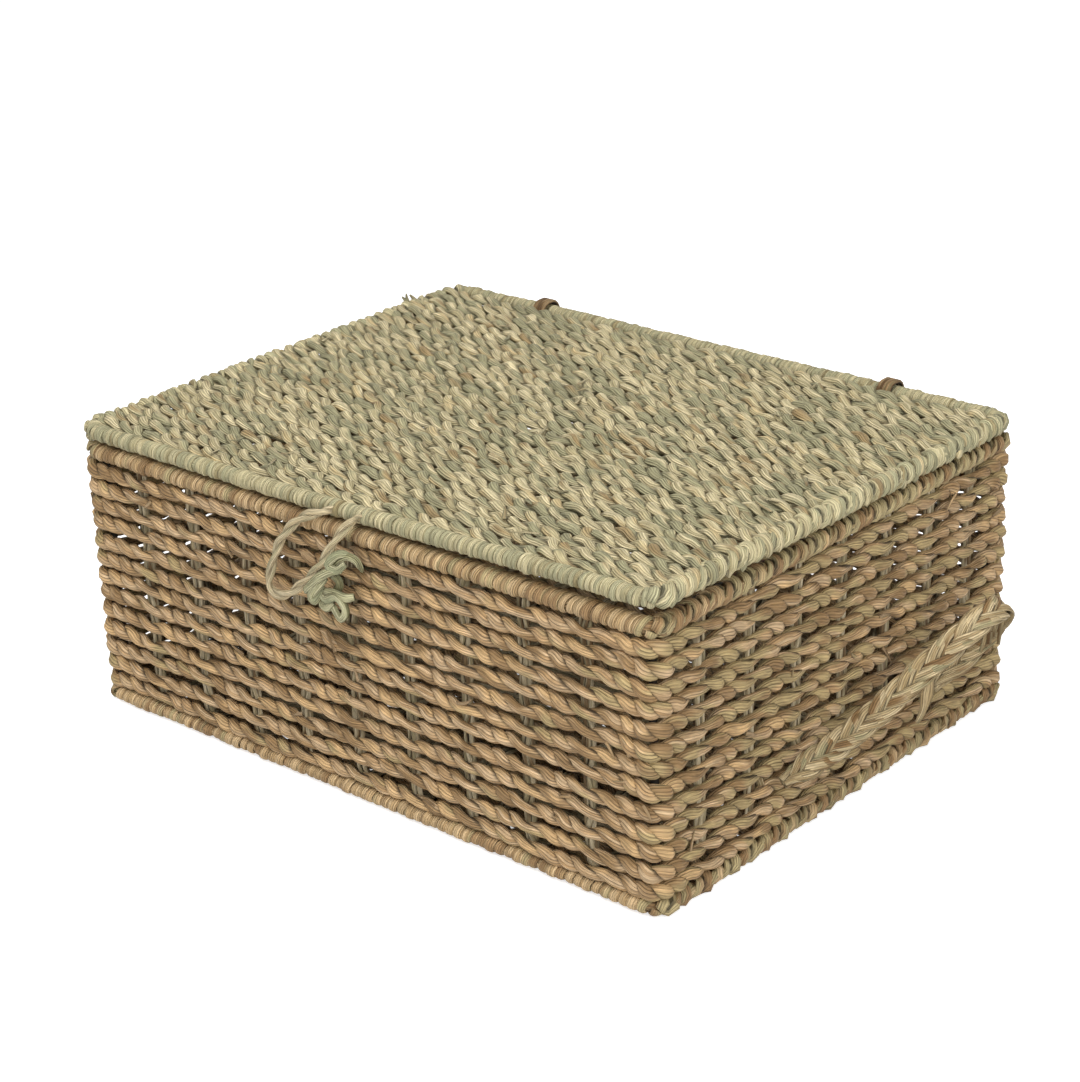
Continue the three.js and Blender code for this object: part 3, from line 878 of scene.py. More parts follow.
@dataclass
class Basket:
    """The walls, base and their bindings on the wire frame."""

    loom: Loom
    half_length: float = 0.2
    half_depth: float = 0.155
    corner: float = 0.0110
    least_corner: float = 0.006
    rows: int = 13
    first_row: float = 0.01443
    row_pitch: float = 0.0102615
    inset: float = 0.0050
    stake_inset: float = 0.0062
    row_lay: Lay = Lay(
        2, 0.0034, 0.0028, sides=13, lobes=5, lobe_depth=0.14, unevenness=0.26, pinch=0.2
    )
    short_bays: float = 0.14
    seen_fullness: float = 1.12
    hidden_fullness: float = 1.34
    leaf_tips: int = 70
    row_shift: tuple[float, ...] = (
        -0.0016, -0.0012, -0.0009, -0.0005, 0.0, 0.0005, 0.0007,
        0.0010, 0.0014, 0.0018, 0.0019, 0.0017, 0.0017,
    )
    stake_floor: float = 0.0098
    cross_stake_floor: float = 0.0150
    hoop_inset: float = 0.0067
    leaf_inset: float = 0.0016
    rim_height: float = 0.1497
    rim_sides: Winding = Winding(0.0049, 0.0014, 0.0064, 0.0051)
    rim_ends: Winding = Winding(0.0105, 0.0020, 0.0064, 0.0051, lean=0.0030, twisted=True)
    base_height: float = 0.0047
    base_sides: Winding = Winding(0.0056, 0.0015, 0.0064, 0.0047)
    base_ends: Winding = Winding(0.0130, 0.0022, 0.0064, 0.0047, lean=0.0030, twisted=True)
    base_mat: MatSize = MatSize(
        half_length=0.187, back=0.1425, front=-0.1425, rows=28, height=0.0058, half_twist=0.0132,
        lift=0.0020, spread=0.0014,
    )
    weft: Seagrass = Seagrass(
        "wall_weft", pale=(211, 181, 141), body=(181, 147, 104), dark=(156, 125, 85),
        green=(184, 161, 114), straw=(212, 176, 126), dark_share=0.22, green_share=0.08,
        straw_share=0.3, end_wall_green=0.5, recess=0.85,
    )
    wrap: Seagrass = Seagrass(
        "border_wrap", pale=(220, 190, 145), body=(188, 157, 112), dark=(162, 130, 90),
        green=(188, 170, 125), dark_share=0.3, green_share=0.15, end_wall_green=0.65,
    )
    stake: Seagrass = Seagrass(
        "stake", pale=(220, 204, 170), body=(190, 172, 134), dark=(124, 100, 68),
        green=(166, 152, 116), dark_share=0.25, green_share=0.3,
    )

    def ring(self, inset: float) -> Ring:
        """The wall's outline, that far in from its outer face."""
        corner = max(self.least_corner, self.corner - inset)
        return Ring(self.half_length - inset, self.half_depth - inset, corner)

    def build(self) -> None:
        """Makes every piece of the basket."""
        weft, wrap, stake = self.weft.material(), self.wrap.material(), self.stake.material()
        for row in range(self.rows):
            self.wall_row(row, weft)
        self.stakes(stake)
        self.base(weft)
        self.binding("rim_binding", self.rim_height, self.rim_sides, self.rim_ends, wrap)
        self.leaf_ends(replace(self.weft, name="wall_leaf_end", recess=0.25).material())
        self.binding("base_binding", self.base_height, self.base_sides, self.base_ends, wrap)

    def wall_row(self, row: int, material: Material) -> None:
        """Twines one row round the walls, with a crossing at each stake."""
        rng = np.random.default_rng(100 + row)
        ring = self.ring(self.inset)
        stops = [wall(x) for wall in (ring.back, ring.front) for x in STAKES_X]
        stops += [wall(y) for wall in (ring.left, ring.right) for y in STAKES_Y]
        corners = ring.corners()
        marks = sorted(stops + corners) + [ring.length]
        bays = list(zip(marks, marks[1:]))
        halves = [2.0 if rng.random() < self.short_bays else 3.0 for _ in bays]
        for index, bay in enumerate(bays):
            if set(bay) & set(corners):
                on_end = abs(ring.at(np.array((sum(bay) / 2,)))[1][0, 0]) > 0.5
                halves[index] = 3.0 if on_end else 3.5
        halves[0] = 3.0 - sum(halves[1:]) % 2
        run, phase = self._twist(bays, halves, corners)
        near = distance_to(run, stops + [ring.length])
        points, out = ring.at(run)
        seen = (out[:, 1] < -0.5) | (out[:, 0] > 0.5)
        edge = distance_to(run, corners + [ring.length])
        hidden = self.hidden_fullness + 0.05 * max(0, row - 8)
        full = np.where(seen, self.seen_fullness, hidden)
        full = full + 0.1 * np.exp(-((edge / 0.014) ** 2))
        thin = np.where(seen, 0.36, 0.14)
        bulge = np.exp(-((near / 0.008) ** 2))
        points[:, 2] = self.first_row + row * self.row_pitch + self.row_shift[row]
        waves = ((0.0006, 14), (0.0005, 60))
        points[:, 2] += sum(wander(run, ring.length, *wave, rng) for wave in waves)
        points += out * (0.0010 * bulge + wander(run, ring.length, 0.0004, 40, rng))[:, None]
        phase = phase + wander(run, ring.length, 0.3, 50, rng)
        path = StrandPath(
            points,
            out,
            rise=UP,
            phase=phase,
            spread=0.0013 + 0.0003 * bulge,
            lift=0.0014 - 0.0006 * bulge,
            swell=full - thin * np.exp(-((near / 0.010) ** 2)),
            tone=float(rng.random()),
            closed=True,
        )
        lay = replace(self.row_lay, seed=row)
        name = f"wall_row_{row + 1:02d}"
        piece = self.loom.weave(f"twined_{name}", [path], lay, material)
        fit(piece, Body.BASKET, "wall_weft", name)

    @staticmethod
    def _twist(
        bays: list[tuple[float, float]], halves: list[float], corners: list[float]
    ) -> tuple[np.ndarray, np.ndarray]:
        """Spreads each bay's half twists, slowly over a stake and quickly between two.

        Args:
            bays: where each bay starts and ends.
            halves: the half twists in each bay.
            corners: the bay ends that are corners and not stakes.

        Returns:
            Distances along the row and the phase at each.
        """
        slow, runs, phases, turns = 0.35, [], [], 0.0
        even = np.linspace(0, 1, 200)
        for (start, end), half in zip(bays, halves):
            if start in corners:
                gone = even + slow * np.sin(math.pi * even) / math.pi
            elif end in corners:
                gone = even - slow * np.sin(math.pi * even) / math.pi
            else:
                gone = even - slow * np.sin(2 * math.pi * even) / (2 * math.pi)
            steps = np.linspace(0, 1, round((end - start) / 0.0016), endpoint=False)
            share = np.interp(steps, (even + gone) / 2, even)
            runs.append(start + (end - start) * share)
            phases.append(-math.pi * (turns + half * np.interp(share, even, gone)))
            turns += half
        return np.concatenate(runs), np.concatenate(phases)

    def stakes(self, material: Material) -> None:
        """Lays the loose bundles that run down the walls and across the base."""
        lay = Lay(4, 0.0016, 0.0013, sides=7, lobes=2, lobe_depth=0.1, unevenness=0.3)
        families = (
            ("front_to_back", STAKES_X, self.half_depth, self.stake_floor, NORTH, EAST, 0),
            ("side_to_side", STAKES_Y, self.half_length, self.cross_stake_floor, EAST, NORTH, 20),
        )
        for word, places, wall, floor, axis, aside, seed in families:
            for index, place in enumerate(places):
                reach = wall - self.stake_inset
                path = self._stake_path(reach, floor, axis, aside * place, seed + index)
                name = f"stake_{word}_{index + 1}"
                piece = self.loom.weave(f"bundle_{name}", [path], lay, material)
                fit(piece, Body.BASKET, "stake", name)

    @staticmethod
    def _stake_path(
        reach: float, floor: float, axis: np.ndarray, offset: np.ndarray, seed: int
    ) -> StrandPath:
        """One stake's way down a wall, over the base and up the other wall.

        Args:
            reach: how far from the middle the wall's stakes stand.
            floor: the height at which it crosses the base.
            axis: the direction that it crosses in.
            offset: where it crosses, from the middle.
            seed: the seed of its wander.

        Returns:
            The path of the bundle.
        """
        rng = np.random.default_rng(300 + seed)
        top, bend = 0.147, 0.009
        turn = np.linspace(0, math.pi / 2, 6)
        half = [(reach, z) for z in np.linspace(top, floor + bend, 34)]
        half += [
            (reach - bend + bend * math.cos(a), floor + bend - bend * math.sin(a)) for a in turn[1:]
        ]
        line = half + [(u, floor) for u in np.linspace(reach - bend, bend - reach, 72)[1:-1]]
        line += [(-u, z) for u, z in reversed(half)]
        flat = np.array(line)
        points = flat[:, :1] * axis + flat[:, 1:] * UP + offset
        way = tangents(points)
        side = np.cross(UP, axis)
        out = unit(np.cross(side, way)) * -1
        run = np.linspace(0, 1, len(points))
        points = points + side * wander(run, 1.0, 0.0005, 22, rng)[:, None]
        return StrandPath(
            points,
            out,
            rise=side,
            phase=0.6 + rng.random() + wander(run, 1.0, 0.9, 16, rng),
            spread=0.0009,
            lift=0.0025,
            tone=float(rng.random()),
        )

    def base(self, material: Material) -> None:
        """Twines the mat of the base."""
        paths = mat_rows(self.base_mat, 11, seed=500)
        lay = Lay(2, 0.0033, 0.0022, sides=9, lobes=3, lobe_depth=0.08, unevenness=0.2)
        piece = self.loom.weave("twined_base", paths, lay, material)
        fit(piece, Body.BASKET, "wall_weft", "base_weft")

    def leaf_ends(self, material: Material) -> None:
        """Leaves the loose tips where one leaf of a row ends and the next begins."""
        rng = np.random.default_rng(450)
        ring = self.ring(self.leaf_inset)
        paths = []
        for _ in range(self.leaf_tips):
            spot, out = ring.at(np.array((rng.uniform(0, ring.length),)))
            if np.max(np.abs(out[0])) < 0.999:
                continue
            slant = rng.normal(0, 0.7)
            level = np.cross(UP, out[0]) * math.cos(slant) * rng.choice((-1, 1))
            aim = level + UP * math.sin(slant)
            start = spot[0] + UP * rng.uniform(0.016, 0.138)
            paths.append(leaf_end(start, aim, out[0], rng.uniform(0.006, 0.015), rng))
        fit(self.loom.weave("leaf_ends_wall", paths, LEAF_END, material), Body.BASKET, "wall_weft")

    def binding(
        self, name: str, height: float, sides: Winding, ends: Winding, material: Material
    ) -> None:
        """Wraps one hoop, pressed flat where it would meet the ground."""
        ring = self.ring(self.hoop_inset)
        piece = bound_hoop(self.loom, name, ring, height, (sides, ends), 40, material)
        fit(reshaped(piece, pressed), Body.BASKET, "border_wrap", name)


def mat_rows(size: MatSize, steps: int, seed: int) -> list[StrandPath]:
    """The paths of a mat's rows.

    Args:
        size: the mat.
        steps: points in each full turn of a row.
        seed: the seed of the rows' wander.

    Returns:
        One path for each row.
    """
    rng = np.random.default_rng(seed)
    paths = []
    pitch = (size.back - size.front) / size.rows
    count = int(size.half_length / size.half_twist * steps)
    x = np.linspace(-size.half_length, size.half_length, count)
    line = np.column_stack((x, np.zeros(count), np.zeros(count), np.ones(count)))
    if size.hook:
        turn = np.radians(np.linspace(-40, 75, 7))
        curl = np.column_stack((np.cos(turn), np.sin(turn)))
        reach, drop = size.half_length + size.hook * curl[:, 0], size.hook * (curl[:, 1] - 1)
        right = np.column_stack((reach, drop, curl))[::-1]
        line = np.vstack((right[::-1] * (-1, 1, -1, 1), line, right))
    run = np.concatenate(([0.0], np.cumsum(np.hypot(np.diff(line[:, 0]), np.diff(line[:, 1])))))
    out = np.column_stack((line[:, 2], np.zeros(len(line)), line[:, 3]))
    for row in range(size.rows):
        y = size.front + pitch * (row + 0.5)
        points = np.column_stack((
            line[:, 0],
            y + wander(run, 0.43, 0.0008, 24, rng),
            size.height + line[:, 1] + wander(run, 0.45, 0.0006, 20, rng),
        ))
        phase = rng.uniform(0, math.pi) + math.pi * run / size.half_twist
        phase = phase + wander(run, 0.41, 0.55, 24, rng)
        paths.append(
            StrandPath(
                points,
                out,
                rise=SOUTH,
                phase=phase,
                spread=size.spread,
                lift=size.lift,
                tone=float(rng.random()),
            )
        )
    return paths


@dataclass(frozen=True)
class HoopWrap:
    """Leaf wound round part of a hoop."""

    ring: Ring
    height: float
    start: float
    end: float
    way: Winding
    seed: int


def bound_hoop(
    loom: Loom,
    name: str,
    ring: Ring,
    height: float,
    ways: tuple[Winding, Winding],
    seed: int,
    material: Material,
) -> Piece:
    """Wraps a whole hoop, in one way on the long sides and another on the ends.

    Args:
        loom: what lays the strands.
        name: the hoop's name.
        ring: its line.
        height: its height.
        ways: the windings of the long sides and of the ends.
        seed: the first side's seed.
        material: the finish.

    Returns:
        The binding as one mesh.
    """
    corners = ring.corners()
    pieces = []
    for index, (start, end) in enumerate(zip(corners, corners[1:] + [corners[0] + ring.length])):
        wrap = HoopWrap(ring, height, start, end, ways[1 - index % 2], seed + index)
        pieces.append(wrapped(loom, f"{name}_{index}", wrap, material))
    return joined(f"wrapped_{name}", pieces)


def wrapped(loom: Loom, name: str, wrap: HoopWrap, material: Material) -> Piece:
    """Winds leaf round part of a hoop, over a core of straight leaf.

    Args:
        loom: what lays the strands.
        name: the piece's name.
        wrap: the winding.
        material: its finish.

    Returns:
        The winding and its core as one mesh.
    """
    rng = np.random.default_rng(wrap.seed)
    way = wrap.way
    inside = way.thickness + (0.0008 if way.twisted else 0.0)
    half_out, half_up = way.half_out - inside, way.half_up - inside
    turns = max(2, round((wrap.end - wrap.start) / way.pitch))
    steps = 14
    turn = np.arange(turns * steps + 1) / steps
    angle = 2 * math.pi * turn
    loose = np.interp(turn, np.arange(turns + 1), rng.normal(0, 0.09, turns + 1))
    run = wrap.start + (turn + loose) / turns * (wrap.end - wrap.start) + way.lean * np.sin(angle)
    points, out = wrap.ring.at(run)
    size = 1 + np.interp(turn, np.arange(turns + 1), rng.normal(0, 0.06, turns + 1))
    around = np.column_stack((np.cos(angle) * half_out * size, np.sin(angle) * half_up * size))
    outward, upward = np.cos(angle) / half_out, np.sin(angle) / half_up
    facing = unit(out * outward[:, None] + UP * upward[:, None])
    points = points + out * around[:, :1] + UP * around[:, 1:]
    points[:, 2] += wrap.height
    winding = StrandPath(points, facing, tone=float(rng.random()), swell=size)
    if way.twisted:
        winding.phase = math.pi * winding.along() / 0.0150
        winding.spread, winding.lift = 0.0011, 0.0027
        lay = Lay(2, way.pitch * 0.26, way.thickness, unevenness=0.25)
    else:
        lay = Lay(1, way.pitch * 0.55, way.thickness, sides=10, unevenness=0.2)
    lay = replace(lay, lobe_depth=0.08, seed=wrap.seed)
    coil = loom.weave(name, [winding], lay, material)
    run = np.linspace(wrap.start, wrap.end, max(8, int((wrap.end - wrap.start) / 0.006)))
    points, out = wrap.ring.at(run)
    points[:, 2] = wrap.height
    core = StrandPath(points, out, rise=UP, tone=0.4)
    core_lay = Lay(
        1, half_up * 0.98, half_out * 0.98, sides=10, lobes=3, lobe_depth=0.05, unevenness=0.0
    )
    return joined(name, [coil, loom.weave(f"{name}_core", [core], core_lay, material)])


@dataclass
class Lid:
    """The lid's mat, stakes and wrapped edge, with its lifted corner."""

    loom: Loom
    hoop: Ring = Ring(0.2 - 0.0055, 0.155 - 0.0055, 0.010)
    size: MatSize = MatSize(
        half_length=0.1938, back=0.1425, front=-0.1455, rows=28, height=0.1627, half_twist=0.0110,
        lift=0.0020, spread=0.0014, hook=0.003,
    )
    edge_height: float = 0.1608
    edge_sides: Winding = Winding(0.0031, 0.0012, 0.0047, 0.0047)
    edge_ends: Winding = Winding(0.0108, 0.0022, 0.0056, 0.0056, lean=0.0025, twisted=True)
    stake_height: float = 0.1576
    stake_reach: float = 0.1475
    corner_lift: float = 0.0036
    leaf_tips: int = 46
    tuft: Place = (-0.196, 0.105, 0.004)
    tuft_facing: Place = (0.6, -0.6, 0.5)
    weft: Seagrass = Seagrass(
        "lid_weft", pale=(226, 211, 169), body=(194, 180, 138), dark=(168, 144, 102),
        green=(168, 162, 126), straw=(212, 190, 142), dark_share=0.05, green_share=0.45,
        straw_share=0.22, recess=0.5,
    )
    wrap: Seagrass = Seagrass(
        "lid_wrap", pale=(224, 211, 168), body=(198, 187, 144), dark=(170, 154, 112),
        green=(186, 180, 142), dark_share=0.08, green_share=0.45,
    )
    stake: Seagrass = Seagrass(
        "lid_stake", pale=(190, 178, 146), body=(156, 142, 108), dark=(112, 92, 62),
        green=(146, 142, 110),
    )

    def lifted(self, piece: Piece) -> Piece:
        """Lifts the near right corner, as the real lid's edge stands off the rim."""
        def heights(co: np.ndarray) -> np.ndarray:
            """The heights with the corner raised."""
            across = np.clip((co[:, 0] + 0.05) / 0.25, 0, 1)
            ahead = np.clip((0.10 - co[:, 1]) / 0.255, 0, 1)
            lift = self.corner_lift * across**2 * (3 - 2 * across) * ahead**2 * (3 - 2 * ahead)
            return co[:, 2] + lift

        return reshaped(piece, heights)

    def build(self) -> None:
        """Makes every piece of the lid."""
        weft, wrap, stake = self.weft.material(), self.wrap.material(), self.stake.material()
        self.mat(weft)
        self.edge(wrap)
        self.stakes(stake)
        self.wire()
        self.leaf_ends(replace(self.weft, name="lid_leaf_end", recess=0.25).material())

    def leaf_ends(self, material: Material) -> None:
        """Leaves the loose tips on the mat and the tuft at its left edge."""
        rng = np.random.default_rng(460)
        paths = []
        for _ in range(self.leaf_tips):
            x, y = rng.uniform(-0.185, 0.185), rng.uniform(-0.14, 0.135)
            start = np.array((x, y, self.size.height + 0.0034))
            slant = rng.normal(-0.6, 0.5)
            aim = np.array((math.cos(slant), math.sin(slant), 0.0)) * rng.choice((-1, 1))
            paths.append(leaf_end(start, aim, UP, rng.uniform(0.006, 0.014), rng))
        for _ in range(3):
            x, y, above = self.tuft
            start = np.array((x, y + rng.normal(0, 0.003), self.edge_height + above))
            aim = unit(np.array((-0.6, rng.normal(0, 0.3), 0.8)))
            facing = np.array(self.tuft_facing)
            paths.append(leaf_end(start, aim, facing, rng.uniform(0.004, 0.006), rng))
        piece = self.lifted(self.loom.weave("leaf_ends_lid", paths, LEAF_END, material))
        fit(piece, Body.LID, "lid_weft")

    def mat(self, material: Material) -> None:
        """Twines the lid's rows in two halves."""
        paths = mat_rows(self.size, 12, seed=700)
        lay = Lay(2, 0.0030, 0.0024, sides=14, lobes=5, lobe_depth=0.14, unevenness=0.28, pinch=0.2)
        middle = self.size.rows // 2
        halves = (("front", paths[:middle]), ("back", paths[middle:]))
        for index, (word, rows) in enumerate(halves):
            piece = self.lifted(self.loom.weave(f"twined_lid_{word}", rows, lay, material))
            fit(piece, Body.LID, "lid_weft", *(("lid_weft",) if index == 0 else ()))

    def edge(self, material: Material) -> None:
        """Wraps the lid's hoop, finely along the front and back and in thick loops at the ends."""
        ways = (self.edge_sides, self.edge_ends)
        piece = bound_hoop(self.loom, "lid_edge", self.hoop, self.edge_height, ways, 60, material)
        fit(self.lifted(piece), Body.LID, "lid_wrap", "lid_binding")

    def wire(self) -> None:
        """Bends the hoop's wire with the lid, where the CAD wire lies flat."""
        points, out = self.hoop.at(np.linspace(0, self.hoop.length, 200, endpoint=False))
        points[:, 2] = self.edge_height
        path = StrandPath(points, out, rise=UP, closed=True)
        lay = Lay(1, 0.002, 0.002, sides=10, lobes=2, lobe_depth=0.0, unevenness=0.0)
        piece = self.lifted(self.loom.weave("lid_hoop_wire", [path], lay, Wire().material()))
        fit(piece, Body.LID, "wire", "lid_wire")

    def stakes(self, material: Material) -> None:
        """Lays the bundles that run front to back under the mat."""
        lay = Lay(4, 0.0013, 0.0009, sides=6, lobes=2, lobe_depth=0.1, unevenness=0.25)
        for index, x in enumerate(STAKES_X):
            rng = np.random.default_rng(800 + index)
            y = np.linspace(-self.stake_reach, self.stake_reach, 60)
            run = y + self.stake_reach
            x_line = x + wander(run, 0.3, 0.0006, 9, rng)
            path = StrandPath(
                np.column_stack((x_line, y, np.full(60, self.stake_height))),
                UP,
                rise=EAST,
                phase=rng.random() + wander(run, 0.3, 0.5, 8, rng),
                spread=0.0006,
                lift=0.0026 - 0.0013 * np.clip((np.abs(y) - 0.128) / 0.012, 0, 1),
                tone=float(rng.random()),
            )
            name = f"lid_stake_{index + 1}"
            piece = self.lifted(self.loom.weave(f"bundle_{name}", [path], lay, material))
            fit(piece, Body.LID, "stake", name)


@dataclass
class Handles:
    """Two braided handles with their knots inside the end walls."""

    loom: Loom
    axis_x: float = 0.206
    left_clearance: float = 0.0014
    axis_z: float = 0.040085
    slope: float = math.radians(57)
    step: float = 0.0022
    braid_pitch: float = 0.060
    braid_lay: Lay = Lay(
        3, 0.0027, 0.0009, sides=10, lobes=3, lobe_depth=0.1, harmonic=2.0, lag=math.pi / 2,
        unevenness=0.2, seed=3,
    )
    tail_lay: Lay = Lay(1, 0.0019, 0.0004, sides=8, lobes=2, lobe_depth=0.05, unevenness=0.2)
    knot_lay: Lay = Lay(1, 0.0021, 0.0019, sides=8, lobes=3, unevenness=0.15)
    route: tuple[tuple[float, float], ...] = (
        (-0.0657, 0.0), (-0.0325, 0.0048), (0.002, 0.0168), (0.032, 0.0442), (0.060, 0.0612),
        (0.078, 0.0608), (0.087, 0.046), (0.081, 0.020), (0.0657, 0.0),
    )
    leaf_route: tuple[Place, ...] = (
        (0.1975, 0.0675, 0.0503), (0.2030, 0.0645, 0.0505), (0.2065, 0.0615, 0.0480),
        (0.2075, 0.0596, 0.0412), (0.2080, 0.0572, 0.0343), (0.2080, 0.0540, 0.0295),
        (0.2085, 0.0490, 0.0269),
    )
    straw: Seagrass = Seagrass(
        "handle_straw", pale=(212, 191, 150), body=(170, 147, 105), dark=(134, 104, 66),
        green=(163, 153, 115), dark_share=0.22, green_share=0.12, recess=0.6,
    )

    def build(self) -> None:
        """Makes both handles."""
        material = self.straw.material()
        loose = replace(self.straw, name="handle_leaf_end", recess=0.0).material()
        self.handle(Side.RIGHT, Body.RIGHT_GRIP, material, loose)
        self.handle(Side.LEFT, Body.LEFT_GRIP, material, loose)

    def handle(self, side: Side, body: Body, material: Material, loose: Material) -> None:
        """Braids one handle and ties its two knots."""
        word = side.name.lower()
        lean = np.array((side.value * math.cos(self.slope), 0.0, math.sin(self.slope)))
        axis_x = self.axis_x + (self.left_clearance if side is Side.LEFT else 0.0)
        root = np.array((side.value * axis_x, 0.0, self.axis_z))
        stations = np.array([root + NORTH * y + lean * reach for y, reach in self.route])
        points = smooth_curve(stations, self.step)
        across = unit(np.cross(NORTH, lean)) * side.value
        braid = self.braid(points, lean, across)
        strap = self.loom.weave(f"braid_{word}", braid, self.braid_lay, material)
        tails = self.loom.weave(f"tails_{word}", self.tails(points, across), self.tail_lay, loose)
        fit(joined(f"braided_handle_{word}", [strap, tails]), body, "braid", f"handle_{word}")
        hanging = [self.hanging_leaf(side)]
        leaf = self.loom.weave(f"hanging_leaf_{word}", hanging, self.tail_lay, loose)
        fit(leaf, Body.BASKET, "braid")
        for end in ("front", "back"):
            node = f"handle_{word}_knot_{end}"
            low, high = (np.array(corner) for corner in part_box(node))
            knot = knot_path((low + high) / 2, EAST, 0.0021)
            piece = self.loom.weave(f"tied_{node}", [knot], self.knot_lay, material)
            fit(piece, Body.BASKET, "knot", node)

    def braid(self, points: np.ndarray, lean: np.ndarray, across: np.ndarray) -> list[StrandPath]:
        """The three bunches of a strap, each of three leaves that cross.

        Args:
            points: the strap's middle line.
            lean: the direction that the handle stands out in.
            across: the direction of the strap's width.

        Returns:
            One path for each bunch.
        """
        run = np.linspace(0, 1, len(points))
        facing = unit(np.cross(across, tangents(points)))
        facing *= np.sign(np.sum(facing[len(points) // 3] * lean))
        ends = np.clip(np.minimum(run, 1 - run) / 0.09, 0, 1)
        full = 0.5 + 0.5 * ends * ends * (3 - 2 * ends)
        turns = len(points) * self.step / self.braid_pitch
        return [
            StrandPath(
                points,
                facing,
                rise=across,
                phase=2 * math.pi * run * turns + shift,
                spread=(0.0017 + 0.0004 * shift) * full,
                lift=0.0048 * full,
                swell=full,
                tone=0.2 + shift,
            )
            for shift in (-0.42, 0.0, 0.42)
        ]

    def hanging_leaf(self, side: Side) -> StrandPath:
        """The long leaf end that hangs out of the wall beside the handle's rear knot."""
        stations = np.array([(side.value * x, y, z) for x, y, z in self.leaf_route])
        points = smooth_curve(stations, 0.002)
        share = np.linspace(0, 1, len(points))
        flat = unit(np.cross(tangents(points), np.array((0.55, side.value * 0.83, 0.0))))
        swell = np.interp(share, (0, 0.35, 0.6, 1), (1.0, 1.9, 1.7, 0.6))
        return StrandPath(points, flat, tone=0.9, swell=swell)

    @staticmethod
    def tails(points: np.ndarray, across: np.ndarray) -> list[StrandPath]:
        """The loose leaf ends that fan from the bend.

        Args:
            points: the strap's middle line.
            across: the direction of its width.

        Returns:
            One path for each leaf end.
        """
        rng = np.random.default_rng(900)
        way = tangents(points)
        paths = []
        for index in range(9):
            spot = int(len(points) * (0.62 + 0.02 * index))
            start = points[spot] + across * rng.uniform(-0.004, 0.004)
            aim = unit(way[spot] * 0.2 - UP * rng.uniform(0.6, 1.1) - NORTH * rng.uniform(0.2, 0.9))
            length = rng.uniform(0.010, 0.018)
            share = np.linspace(0, 1, 6)[:, None]
            line = start + aim * share * length - UP * share**2 * 0.003
            side = unit(np.cross(aim, across) + 1e-6)
            swell = 1 - 0.5 * share[:, 0]
            paths.append(StrandPath(line, side, tone=float(rng.random()), swell=swell))
        return paths


def knot_path(centre: np.ndarray, axis: np.ndarray, size: float) -> StrandPath:
    """A trefoil turn of cord.

    Args:
        centre: its middle.
        axis: the direction that it is flat along.
        size: a third of its radius.

    Returns:
        The closed path.
    """
    t = np.linspace(0, 2 * math.pi, 60, endpoint=False)
    side = unit(np.cross(axis, UP + 0.01))
    upward = np.cross(side, axis)
    flat = np.column_stack(
        (np.sin(t) + 2 * np.sin(2 * t), np.cos(t) - 2 * np.cos(2 * t), -np.sin(3 * t))
    )
    points = centre + size * (flat[:, :1] * side + flat[:, 1:2] * upward + flat[:, 2:] * axis)
    return StrandPath(points, unit(points - centre), closed=True)


